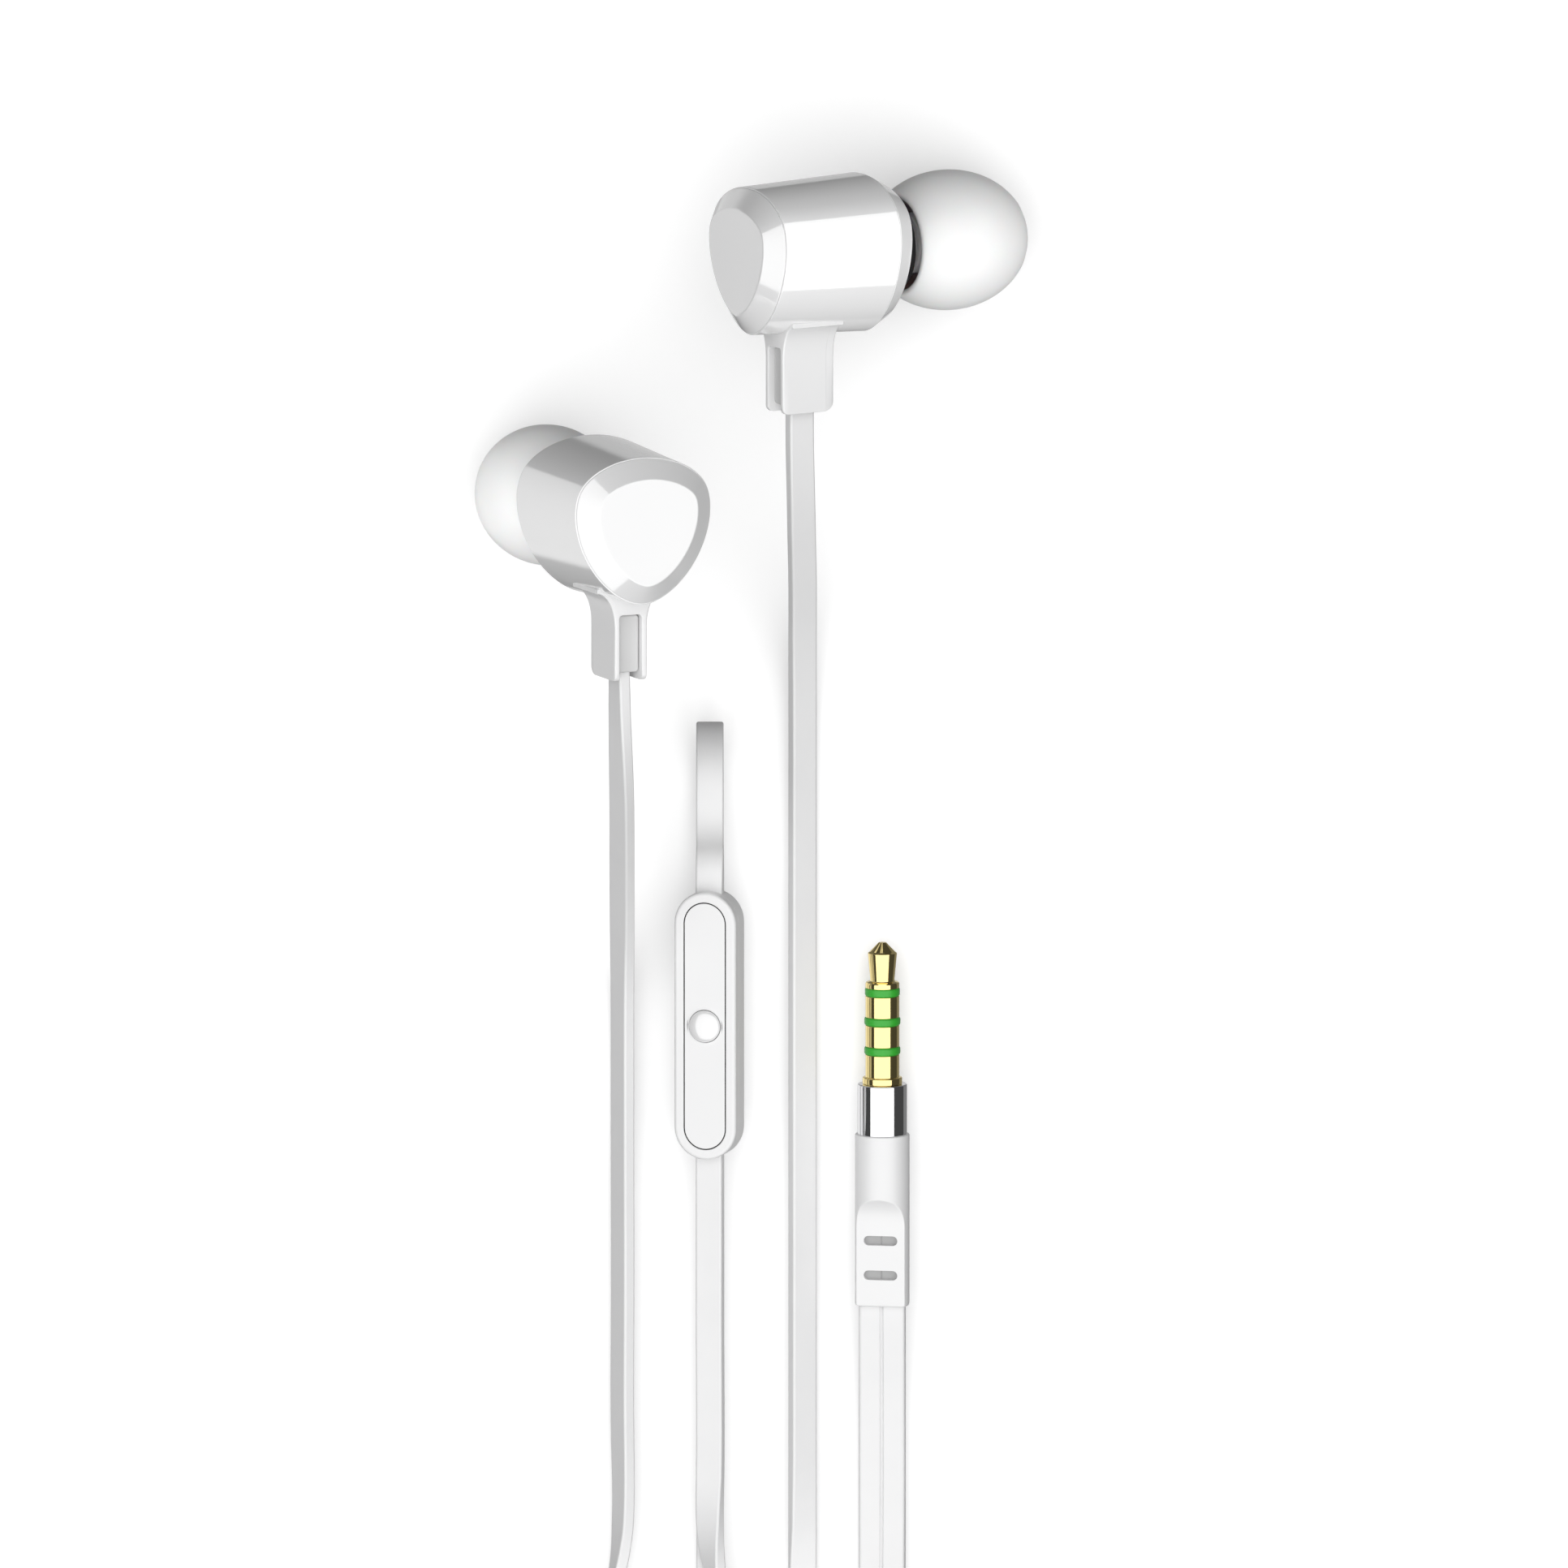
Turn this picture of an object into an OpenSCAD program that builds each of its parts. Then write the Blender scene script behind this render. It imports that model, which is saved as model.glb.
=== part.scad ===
// Wired earphones: two earbuds, an in-line remote, a splitter and a 3.5 mm plug on flat cable,
// laid out on a table. The table is z = 0 and both ear tips rest on it.

/* [Earbud] */
// Housing radius at the front shoulder
housing_front_r = 8.15; // [7.8:0.05:8.6]
// Housing radius at the rear edge
housing_rear_r = 7.6; // [7.3:0.05:8]
// How far the housing's outline is drawn out to a rounded triangle
housing_lobe = 0.5; // [0.3:0.05:0.6]
// Thickness of the housing's wall
housing_wall = 0.9; // [0.7:0.05:1]
// How far the front bevel draws the outline in
front_inset = 1.1; // [0.8:0.1:1.4]
// How far the cap's bevel draws the outline in
cap_inset = 2.1; // [1.5:0.1:2.4]

/* [Ear tip] */
// Widest radius of the soft tip
tip_r = 7.2; // [6.5:0.1:7.6]
// Half length of the tip's dome, if it were closed
tip_half = 8.7; // [8.5:0.1:9.2]
// Radius of the sound nozzle
nozzle_r = 2.2; // [2:0.1:2.4]
// Radial clearance of the tip on the nozzle
tip_clearance = 0.05; // [0.03:0.01:0.08]

/* [Stem] */
// Size of the stem along the housing
stem_length = 6; // [5.6:0.1:6.4]
// Size of the stem across the housing
stem_width = 3.6; // [3.4:0.1:4]
// Distance of the stem's end from the housing's axis
stem_reach = 16.4; // [15.5:0.1:17.5]
// Width of the channel in the stem
channel_width = 2.5; // [2.3:0.1:2.6]
// Depth from the channel's mouth to the clamp
channel_depth = 0.7; // [0.5:0.05:1.8]

/* [Remote] */
// Length of the remote
remote_length = 27.8; // [26:0.2:30]
// Width of the remote
remote_width = 6.6; // [6.2:0.1:7]
// Thickness of the remote
remote_depth = 3.9; // [3.8:0.1:4.2]
// Radius of the button
button_r = 1.65; // [1.5:0.05:1.8]
// Radial clearance round the button
button_clearance = 0.05; // [0.03:0.01:0.08]

/* [Plug] */
// Radius of the plug's contacts
plug_r = 1.75; // [1.75:0.01:1.75]
// Radius of the chrome collar
collar_r = 2.55; // [2.4:0.05:2.7]
// Radius of the grip
boot_r = 2.8; // [2.75:0.05:3]
// Length of the grip
boot_length = 17.9; // [17:0.1:19]

/* [Cable] */
// Width of a branch cable
branch_width = 2.8; // [2.6:0.1:2.9]
// Width of the main cable
main_width = 4.8; // [4.6:0.1:4.9]
// Thickness of both cables
cable_depth = 1.25; // [1.1:0.05:1.3]

/* [Hidden] */
$fn = 64;
cut = 0.5;

// Places along an earbud's axis, from the dome's centre: the tip is towards +z
tip_front_z = 7.7;
tip_rim_z = -5.9;
tip_core_z = -5;
tip_core_r = 3.1;
tip_skin = 0.7;
nozzle_front_z = 3;
nozzle_bore_r = 1.6;
front_face_z = -8.2;
shoulder_z = -10.2;
stem_z = -17.5;
rear_edge_z = -23.4;
cap_face_z = -25;
spigot_length = 1;
spigot_gap = 0.05;
spigot_wall = 0.8;
lap = 0.3;
slot_corner = 0.4;

// Angle of each earbud's axis from straight down, and the turn that gives it
left_tilt = 24.8;
right_tilt = 59.8;
left_turn = left_tilt - 180;
right_turn = 180 - right_tilt;

// Outline of the tip, as radius and height, from the skirt's rim to the front edge
tip_outline = concat(
    [for (i = [0 : 14]) let (z = tip_rim_z + i * (tip_front_z - 0.4 - tip_rim_z) / 14)
        [tip_r * sqrt(1 - pow(z / tip_half, 2)), z]],
    [[3.4, tip_front_z - 0.1], [3.1, tip_front_z]]
);

// Height of the dome's centre above the table when the tip rests on it
function rest_height(tilt) = max([for (p = tip_outline) p[0] * sin(tilt) + p[1] * cos(tilt)]);

left_place = [-20.9, -8.8, rest_height(left_tilt)];
right_place = [20, 17.5, rest_height(right_tilt)];

// The remote lies on the cable that runs back beneath it
remote_place = [-4.3, -64.4, 3.8];
remote_roll = -16.7;
frame_z = 0.75;
panel_z = 1.2;
panel_length = 26;
panel_width = 4.4;
panel_gap = 0.06;
slot_gap = 0.05;

// The plug's own z runs from the grip's rear end to the tip
plug_place = [13.4, -93.9, boot_r];
plug_roll = -8.8;
plug_core_z = 11.2;
collar_length = 5.2;
sleeve_z = boot_length + collar_length;
flange_length = 0.7;
plug_length = 14;
plug_tip_z = sleeve_z + flange_length + plug_length;
rod_r = 0.7;
grip_z = 8.2;
grip_half = 1.25;
scoop_r = 4;
cable_seat_z = 9;

// The put-away length: one flat spiral round this centre, cable on its edge
coil_x = 17;
coil_y = -172.5;
coil_base = 0.45;
right_coil_in = 12;
right_coil_out = 16.4;
main_coil_in = 22.5;
main_coil_out = 32.6;
splitter_radius = 18.6;
splitter_length = 13;
splitter_width = 3.6;
splitter_height = 7;
splitter_turn = -8;
slot_depth = 3;
branch_offset = 1.55;
tie_width = 3;
tie_skin = 0.4;

// Cable routes: x, y, z, then the compass direction and the rise of the wide side in degrees
left_upper_route = [
    [-13.55, -24.5, 24.2, 0, 65], [-13.5, -27.9, 24, 0, 62], [-13.4, -32.9, 22.6, 0, 58],
    [-13.3, -38.9, 18.7, 0, 57], [-13.3, -45.9, 12.8, 0, 57], [-13.3, -52.9, 6.9, 0, 57],
    [-13.3, -58.9, 3.1, 0, 57], [-13.3, -65, 1.6, 0, 57], [-13.3, -80, 1.6, 0, 57],
    [-13.3, -95, 1.6, 0, 57], [-13.3, -108, 1.6, 0, 57], [-13.3, -117, 1.6, 0, 62],
    [-13.7, -121, 1.5, 0, 74], [-14.5, -125, 1.5, 0, 86], [-14.9, -128.9, 1.5, 0, 90],
    [-14.1, -132, 1.7, 0, 90], [-11.8, -134.2, 2, 0, 90], [-8.8, -135, 2.3, 0, 90],
    [-5.8, -134.2, 2.7, 0, 90], [-3.5, -132, 2.9, 0, 90], [-2.7, -128.9, 3, 0, 90],
    [-3.1, -125, 2.9, 0, 80], [-3.9, -121, 2.8, 0, 58], [-4.3, -117, 2.6, 0, 34],
    [-4.3, -112, 2.4, 0, 18], [-4.3, -98, 2.35, 0, 17], [-4.3, -90, 2.5, 0, 17],
    [-4.3, -86, 2.9, 0, 17], [-4.3, -82, 3.5, 0, 17], [-4.3, -78.5, 3.8, 0, 16.7],
    [-4.3, -76.4, 3.8, 0, 16.7]
];
left_lower_route = [
    [-4.3, -52.4, 3.8, 0, 16.7], [-4.3, -50.3, 3.8, 0, 14], [-4.3, -47.8, 4.35, 0, 9],
    [-4.3, -45.85, 5.85, 0, 4], [-4.3, -44.7, 8, 0, 0], [-4.3, -43.2, 10.55, 0, 0],
    [-4.3, -40.6, 12.05, 0, 0], [-4.3, -37.6, 12.05, 0, 0], [-4.3, -35, 10.55, 0, 0],
    [-4.3, -33.5, 7.95, 0, 0], [-4.3, -33.5, 4.95, 0, 0], [-4.3, -35, 2.35, 0, 0],
    [-4.3, -37, 1.05, 0, 0], [-4.3, -39.2, 0.65, 0, 0], [-4.3, -43, 0.65, 0, 0],
    [-4.3, -60, 0.65, 0, 0], [-4.3, -80, 0.65, 0, 0], [-4.3, -100, 0.65, 0, 0],
    [-4.3, -120, 0.65, 0, 0], [-4.3, -128, 0.65, 0, 0], [-4.3, -133.3, 0.7, 0, 0],
    [-4.2, -136.7, 1.6, 0, 0], [-4, -139.9, 3.6, 0, 0], [-3.7, -143.1, 5.4, 0, 0],
    [-3.3, -146.5, 6.05, 0, 0], [-2.1, -153.3, 6.05, 0, 0], [-1.1, -158.2, 6.05, 0, 0],
    [-0.7, -160.3, 6, 0, 0], [-0.6, -162.1, 5.75, 0, 35], [-0.65, -164.2, 5.3, 0, 70],
    [-0.8, -166.4, 5.05, 0, 90], [-1.05, -168.7, 5.05, 0, 90]
];
right_route = [
    [4.9, 1.75, 16.4, 0, -30], [4.9, -1.4, 16.1, 0, -30], [5, -6.9, 14.5, 0, -30],
    [5.1, -12.5, 11.5, 0, -30], [5.2, -18, 8, 0, -30], [5.2, -23.5, 4.7, 0, -30],
    [5.2, -29.5, 2.2, 0, -30], [5.2, -36, 1.3, 0, -30], [5.2, -60, 1.3, 0, -30],
    [5.2, -85, 1.3, 0, -30], [5.2, -110, 1.3, 0, -30], [5.2, -117, 1.2, 0, -25],
    [5.2, -123, 0.8, 0, -5], [5.2, -128, 1.1, 0, 0], [5.2, -132.5, 2.7, 0, 0],
    [5.2, -137, 4.9, 0, 0], [5.1, -141.3, 6, 0, 0], [5, -146.5, 6.05, 0, 0],
    [4.8, -154, 6.05, 0, 0], [4.6, -158.5, 5.3, 0, 0], [4.4, -163, 4.4, 0, 0],
    [4.4, -167.3, 4, 0, 0], [4.4, -172.5, 3.95, 0, 0]
];
right_inner_route = [
    [15.7, -157.2, 1.85, 275, 90], [10.2, -157.8, 1.9, 295, 90], [4.6, -160.1, 1.95, 315, 90],
    [0.9, -163.2, 1.95, 335, 90], [-0.7, -166.1, 1.95, 350, 90], [-1.05, -168.7, 1.95, 350, 90]
];
main_inner_route = [
    [-2.15, -176.3, 3.5, 0, 90], [-2.5, -178.9, 3.5, 0, 90], [-2.5, -181.9, 3.4, 0, 90],
    [-1.8, -184.8, 3.2, 0, 90], [-0.4, -187.4, 3, 0, 90], [1.5, -189.7, 2.85, 0, 90]
];
main_route = [
    [27.9, -142.5, 2.85, 70, 90], [24.3, -141.2, 2.85, 70, 90], [20.6, -139.9, 2.8, 65, 88],
    [18.1, -138.6, 2.7, 55, 84], [16, -136.6, 2.6, 40, 76], [14.4, -134.2, 2.3, 25, 64],
    [13.6, -131.5, 1.9, 10, 48], [13.4, -128, 1.4, 0, 30], [13.4, -122, 0.95, 0, 10],
    [13.4, -112, 0.85, 0, 5], [13.4, -107, 0.95, 0, 5], [13.4, -102, 1.6, 0, 6],
    [13.4, -98, 2.4, 0, 7], [13.4, -94, 2.8, 0, 8.8], [13.4, -85.4, 2.8, 0, 8.8]
];

// Rounded triangle: the curve whose support distance is r plus one three-lobed wave
pick_sides = 36;
function pick_points(r) = [for (i = [0 : pick_sides - 1])
    let (a = 360 * i / pick_sides, h = r + housing_lobe * cos(3 * (a + 90)),
         dh = -3 * housing_lobe * sin(3 * (a + 90)))
    [h * cos(a) - dh * sin(a), h * sin(a) + dh * cos(a)]];

module pick_prism(r, z1, z2) {
    translate([0, 0, z1]) linear_extrude(z2 - z1) polygon(pick_points(r));
}

// Solid between two outlines of the housing
module pick_loft(r1, z1, r2, z2) {
    n = pick_sides;
    low = [for (p = pick_points(r1)) [p[0], p[1], z1]];
    high = [for (p = pick_points(r2)) [p[0], p[1], z2]];
    sides = [for (i = [0 : n - 1]) [i, i + n, (i + 1) % n + n, (i + 1) % n]];
    ends = [[for (i = [0 : n - 1]) i], [for (i = [0 : n - 1]) 2 * n - 1 - i]];
    polyhedron(points = concat(low, high), faces = concat(sides, ends), convexity = 4);
}

module housing_body() {
    pick_loft(housing_rear_r, rear_edge_z, housing_front_r, shoulder_z);
}

// Soft tip with an inner sleeve and an open skirt
module ear_tip() {
    inner = [for (p = tip_outline) if (p[1] < 3.5) [p[0] - tip_skin, p[1]]];
    steps = len(inner) - 1;
    color("whitesmoke") rotate_extrude() polygon(concat(
        tip_outline,
        [[nozzle_r + tip_clearance, tip_front_z], [nozzle_r + tip_clearance, tip_core_z]],
        [[tip_core_r, tip_core_z], [tip_core_r, 4]],
        [for (i = [0 : steps]) inner[steps - i]]
    ));
}

// Bevelled front of the housing, open behind, with a hole for the nozzle
module front_shell() {
    inner_r = housing_front_r - housing_wall - spigot_gap;
    color("white") difference() {
        union() {
            pick_loft(housing_front_r, shoulder_z, housing_front_r - front_inset, front_face_z);
            pick_prism(inner_r, shoulder_z - spigot_length, shoulder_z + lap);
        }
        pick_prism(inner_r - spigot_wall, shoulder_z - spigot_length - cut, front_face_z - housing_wall);
        translate([0, 0, front_face_z - 2]) cylinder(h = 3, r = nozzle_r);
    }
}

// Sound nozzle with a flange behind the front wall
module nozzle() {
    flange_z = front_face_z - housing_wall - 0.6;
    color("white") difference() {
        union() {
            translate([0, 0, flange_z]) cylinder(h = 0.6, r = 3.2);
            translate([0, 0, flange_z]) cylinder(h = nozzle_front_z - flange_z, r = nozzle_r);
        }
        translate([0, 0, flange_z - cut]) cylinder(h = nozzle_front_z - flange_z + 2 * cut, r = nozzle_bore_r);
    }
}

module nozzle_mesh() {
    color("silver") translate([0, 0, nozzle_front_z - 0.4]) cylinder(h = 0.2, r = nozzle_bore_r);
}

module neck_ring() {
    color("black") translate([0, 0, front_face_z]) difference() {
        cylinder(h = 1.8, r = 4.9);
        translate([0, 0, -cut]) cylinder(h = 1.8 + 2 * cut, r = nozzle_r);
    }
}

module barrel() {
    color("white") difference() {
        housing_body();
        pick_loft(housing_rear_r - housing_wall, rear_edge_z - cut,
                  housing_front_r - housing_wall, shoulder_z + cut);
        translate([0, 0, stem_z]) rotate([90, 0, 0]) cylinder(h = stem_reach, r = 0.9);
    }
}

// Bevelled cap with a spigot that fits inside the barrel
module rear_cap() {
    inner_r = housing_rear_r - housing_wall - spigot_gap;
    hollow_r = inner_r - spigot_wall;
    color("white") {
        difference() {
            pick_loft(housing_rear_r - cap_inset, cap_face_z, housing_rear_r, rear_edge_z);
            pick_prism(hollow_r, rear_edge_z - 2 * lap, rear_edge_z + cut);
        }
        difference() {
            pick_prism(inner_r, rear_edge_z - lap, rear_edge_z + spigot_length);
            pick_prism(hollow_r, rear_edge_z - cut, rear_edge_z + spigot_length + cut);
        }
    }
}

// Stem's section across the housing: straight sides that flare into a thin lip
module stem_section() {
    half = stem_width / 2;
    flare = 2;
    rise = 3.6;
    top = -10.8;
    polygon(concat(
        [[-half, -stem_reach], [half, -stem_reach]],
        [for (a = [180 : -15 : 90]) [half + flare + flare * cos(a), top + rise * sin(a)]],
        [[half + flare, -6], [-half - flare, -6]],
        [for (a = [90 : -15 : 0]) [-half - flare + flare * cos(a), top + rise * sin(a)]]
    ));
}

// Slot with two rounded corners, open at its lower end
module slot_section(width, top, bottom) {
    side = width / 2 - slot_corner;
    for (x = [-side, side]) translate([x, top - slot_corner]) circle(slot_corner);
    translate([-side, bottom]) square([2 * side, top - bottom]);
    translate([-width / 2, bottom]) square([width, top - slot_corner - bottom]);
}

module saddle() {
    low_z = stem_z - stem_length / 2;
    color("white") difference() {
        translate([0, 0, low_z]) linear_extrude(stem_length) stem_section();
        housing_body();
        translate([0, 0, low_z - cut]) linear_extrude(stem_length - 0.9 + cut)
            slot_section(channel_width, -9.6, -stem_reach - cut);
        translate([0, 0, stem_z]) rotate([90, 0, 0]) cylinder(h = stem_reach - 5, r = 0.9);
    }
}

module cable_clamp() {
    low_z = stem_z - stem_length / 2 + channel_depth;
    color("gainsboro") translate([0, 0, low_z]) linear_extrude(stem_length - 0.95 - channel_depth)
        slot_section(channel_width - 0.1, -9.7, 0.8 - stem_reach);
}

module driver_frame() {
    color("dimgray") translate([0, 0, -14.8]) difference() {
        cylinder(h = 3.5, r = 6.3);
        translate([0, 0, 0.9]) cylinder(h = 3.5, r = 5.6);
    }
}

module magnet() {
    color("silver") translate([0, 0, -13.9]) cylinder(h = 1.5, r = 3.6);
}

module diaphragm() {
    color("wheat") rotate_extrude() polygon([
        [0, -11.5], [1.8, -11.6], [3.7, -12], [3.7, -13.3], [3.9, -13.3], [3.9, -12.1],
        [5.6, -11.7], [5.6, -11.5], [3.8, -11.8], [1.8, -11.4], [0, -11.3]
    ]);
}

module rear_damper() {
    color("darkgray") translate([0, 0, -15.4]) cylinder(h = 0.6, r = 5.6);
}

module terminal_board() {
    color("darkgreen") translate([-3.5, -3.5, -20]) cube([7, 6, 0.8]);
}

module stadium(length, width) {
    run = (length - width) / 2;
    translate([0, run]) circle(width / 2);
    translate([0, -run]) circle(width / 2);
    translate([-width / 2, -run]) square([width, 2 * run]);
}

module at_remote() {
    translate(remote_place) rotate([0, remote_roll, 0]) children();
}

module remote_back_shell() {
    low_z = -remote_depth / 2;
    slot_w = branch_width + 2 * slot_gap;
    slot_h = cable_depth + 2 * slot_gap;
    color("gainsboro") at_remote() difference() {
        translate([0, 0, low_z]) linear_extrude(frame_z - low_z) stadium(remote_length, remote_width);
        translate([0, 0, low_z + 0.7]) linear_extrude(remote_depth)
            stadium(remote_length - 1.6, remote_width - 1.6);
        translate([-slot_w / 2, -remote_length, -slot_h / 2]) cube([slot_w, 2 * remote_length, slot_h]);
    }
}

module remote_front_frame() {
    color("white") at_remote() difference() {
        translate([0, 0, frame_z]) linear_extrude(remote_depth / 2 - frame_z)
            stadium(remote_length, remote_width);
        translate([0, 0, frame_z - cut]) linear_extrude(remote_depth)
            stadium(panel_length - 0.6, panel_width - 0.4);
        translate([0, 0, panel_z]) linear_extrude(remote_depth)
            stadium(panel_length + 2 * panel_gap, panel_width + 2 * panel_gap);
    }
}

module remote_panel() {
    color("whitesmoke") at_remote() difference() {
        translate([0, 0, panel_z]) linear_extrude(0.7) stadium(panel_length, panel_width);
        translate([0, 0, panel_z - cut]) cylinder(h = 2, r = button_r + button_clearance);
    }
}

// Domed button with a flange that keeps it under the panel
module remote_button() {
    flange_r = button_r + 0.3;
    dome_z = 1.95;
    dome_rise = 0.6;
    color("white") at_remote() rotate_extrude() polygon(concat(
        [[0, 0.7], [flange_r, 0.7], [flange_r, 1.1], [button_r, 1.1]],
        [for (a = [0 : 10 : 90]) [button_r * cos(a), dome_z + dome_rise * sin(a)]]
    ));
}

module remote_switch() {
    color("silver") at_remote() translate([0, 0, -0.85]) cylinder(h = 1.15, r = 1.5);
}

module remote_board() {
    color("darkgreen") at_remote() translate([-2.1, -9.5, -1.25]) cube([4.2, 19, 0.4]);
}

module remote_microphone() {
    color("silver") at_remote() translate([0, 7, -0.85]) cylinder(h = 1, r = 1.3);
}

module at_splitter() {
    translate([coil_x - splitter_radius, coil_y, 0]) rotate([0, 0, splitter_turn]) children();
}

// Slot that takes a cable standing on its edge
module splitter_slot(width, y, z) {
    w = cable_depth + 2 * slot_gap;
    h = width + 2 * slot_gap;
    translate([-w / 2, y, z - h / 2]) cube([w, slot_depth + cut, h]);
}

module splitter_shell() {
    half = splitter_length / 2;
    side = splitter_width / 2;
    mid = splitter_height / 2;
    color("white") at_splitter() difference() {
        linear_extrude(splitter_height) polygon([
            [side, -half + 2], [side, half - 2], [side - 0.4, half - 0.6], [side - 0.9, half],
            [0.9 - side, half], [0.4 - side, half - 0.6], [-side, half - 2], [-side, -half + 2],
            [0.4 - side, 0.6 - half], [0.9 - side, -half], [side - 0.9, -half], [side - 0.4, 0.6 - half]
        ]);
        splitter_slot(branch_width, half - slot_depth, mid + branch_offset);
        splitter_slot(branch_width, half - slot_depth, mid - branch_offset);
        splitter_slot(main_width, -half - cut, mid);
        translate([-0.9, slot_depth - half, 0.7])
            cube([1.8, splitter_length - 2 * slot_depth, splitter_height - 1.4]);
    }
}

module splitter_core() {
    color("gainsboro") at_splitter()
        translate([-0.85, slot_depth + 0.05 - splitter_length / 2, 0.75])
            cube([1.7, splitter_length - 2 * slot_depth - 0.1, splitter_height - 1.5]);
}

module at_plug() {
    translate(plug_place) rotate([0, plug_roll, 0]) rotate([-90, 0, 0]) children();
}

// Tube round the plug's rod between two distances from the plug's tip
module contact(from, to, r) {
    difference() {
        translate([0, 0, plug_tip_z - to]) cylinder(h = to - from, r = r);
        translate([0, 0, plug_tip_z - to - cut]) cylinder(h = to - from + 2 * cut, r = rod_r);
    }
}

module plug_tip() {
    color("gold") at_plug() translate([0, 0, plug_tip_z]) rotate_extrude() polygon([
        [0, 0], [0.4, 0], [0.55, -0.1], [1.3, -0.95], [1.5, -1.1], [1.5, -1.2], [1.25, -4],
        [1.6, -4.1], [1.75, -4.25], [1.75, -4.7], [rod_r, -4.7], [rod_r, -13], [0, -13]
    ]);
}

module plug_ring_front() {
    color("gold") at_plug() contact(5.55, 7.75, plug_r);
}

module plug_ring_rear() {
    color("gold") at_plug() contact(8.6, 10.8, plug_r);
}

module plug_sleeve() {
    color("gold") at_plug() {
        contact(11.65, plug_length, plug_r);
        contact(plug_length, plug_length + flange_length, 2.05);
    }
}

module plug_insulator_front() {
    color("limegreen") at_plug() contact(4.7, 5.55, plug_r);
}

module plug_insulator_middle() {
    color("limegreen") at_plug() contact(7.75, 8.6, plug_r);
}

module plug_insulator_rear() {
    color("limegreen") at_plug() contact(10.8, 11.65, plug_r);
}

module plug_collar() {
    color("silver") at_plug() translate([0, 0, boot_length]) difference() {
        cylinder(h = collar_length, r = collar_r);
        translate([0, 0, -cut]) cylinder(h = collar_length + 2 * cut, r = 1.3);
    }
}

module plug_core() {
    color("gainsboro") at_plug() {
        translate([0, 0, plug_core_z]) cylinder(h = boot_length - plug_core_z, r = 1.9);
        translate([0, 0, boot_length]) cylinder(h = collar_length, r = 1.3);
    }
}

// Grip: round, with a flat scooped into each side and two windows through the flats
module plug_boot() {
    slot_w = main_width + 2 * slot_gap;
    slot_h = cable_depth + 2 * slot_gap;
    color("white") at_plug() difference() {
        cylinder(h = boot_length, r = boot_r);
        for (side = [-1, 1]) {
            translate([-4, side > 0 ? grip_half : -grip_half - 3, -cut]) cube([8, 3, grip_z + cut]);
            translate([-4, side * (grip_half + scoop_r), grip_z]) rotate([0, 90, 0])
                cylinder(h = 8, r = scoop_r);
        }
        translate([0, 0, plug_core_z]) cylinder(h = boot_length, r = 1.9);
        translate([-slot_w / 2, -slot_h / 2, -cut]) cube([slot_w, slot_h, cable_seat_z + cut]);
        for (z = [3.3, 6.9]) translate([0, 3, z]) rotate([90, 0, 0]) linear_extrude(6)
            rotate(90) stadium(3.5, 1);
    }
}

function unit(v) = v / norm(v);
function place(p) = [p[0], p[1], p[2]];

// Direction of a route at one of its points
function along(route, i) =
    let (here = place(route[i]),
         back = i > 0 ? unit(here - place(route[i - 1])) : [0, 0, 0],
         ahead = i < len(route) - 1 ? unit(place(route[i + 1]) - here) : [0, 0, 0])
    unit(back + ahead);

// Direction of the cable's wide side, square to the route
function wide_side(route, i) =
    let (p = route[i], t = along(route, i),
         w = [cos(p[4]) * cos(p[3]), cos(p[4]) * sin(p[3]), sin(p[4])])
    unit(w - (w * t) * t);

// Section of a flat cable with its corners cut
function cable_section(width) =
    let (a = width / 2, b = cable_depth / 2, c = 0.3)
    [[a, b - c], [a - c, b], [c - a, b], [-a, b - c], [-a, c - b], [c - a, -b], [a - c, -b], [a, c - b]];

module cable(route, width) {
    section = cable_section(width);
    k = len(section);
    last = len(route) - 1;
    points = [for (i = [0 : last])
        let (w = wide_side(route, i), n = cross(along(route, i), w))
        for (s = section) place(route[i]) + s[0] * w + s[1] * n];
    sides = [for (i = [0 : last - 1], j = [0 : k - 1], half = [0, 1])
        let (a = i * k + j, b = i * k + (j + 1) % k)
        half == 0 ? [a, a + k, b + k] : [a, b + k, b]];
    ends = [[for (j = [0 : k - 1]) j], [for (j = [0 : k - 1]) last * k + k - 1 - j]];
    color("white") polyhedron(points = points, faces = concat(sides, ends), convexity = 8);
}

module coil(inner, outer, height) {
    color("white") translate([coil_x, coil_y, coil_base]) rotate_extrude($fn = 120)
        translate([inner, 0]) square([outer - inner, height]);
}

// Strap round both coils, with a short twisted tail on top
module coil_tie() {
    reach = main_coil_out - right_coil_in + 0.2;
    height = main_width + 0.1;
    color("lightgray") translate([coil_x, coil_y - main_coil_out - 0.05, tie_skin]) {
        translate([-tie_width / 2, 0, 0]) difference() {
            translate([0, -tie_skin, -tie_skin])
                cube([tie_width, reach + 2 * tie_skin, height + 2 * tie_skin]);
            translate([-cut, 0, 0]) cube([tie_width + 2 * cut, reach, height]);
        }
        translate([1.2, 5, height + tie_skin + 0.55]) rotate([0, 90, 0]) cylinder(h = 9, r = 0.6);
    }
}

module left_bud() {
    translate(left_place) rotate([0, left_turn, 0]) children();
}

module right_bud() {
    translate(right_place) rotate([0, right_turn, 0]) children();
}

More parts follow.
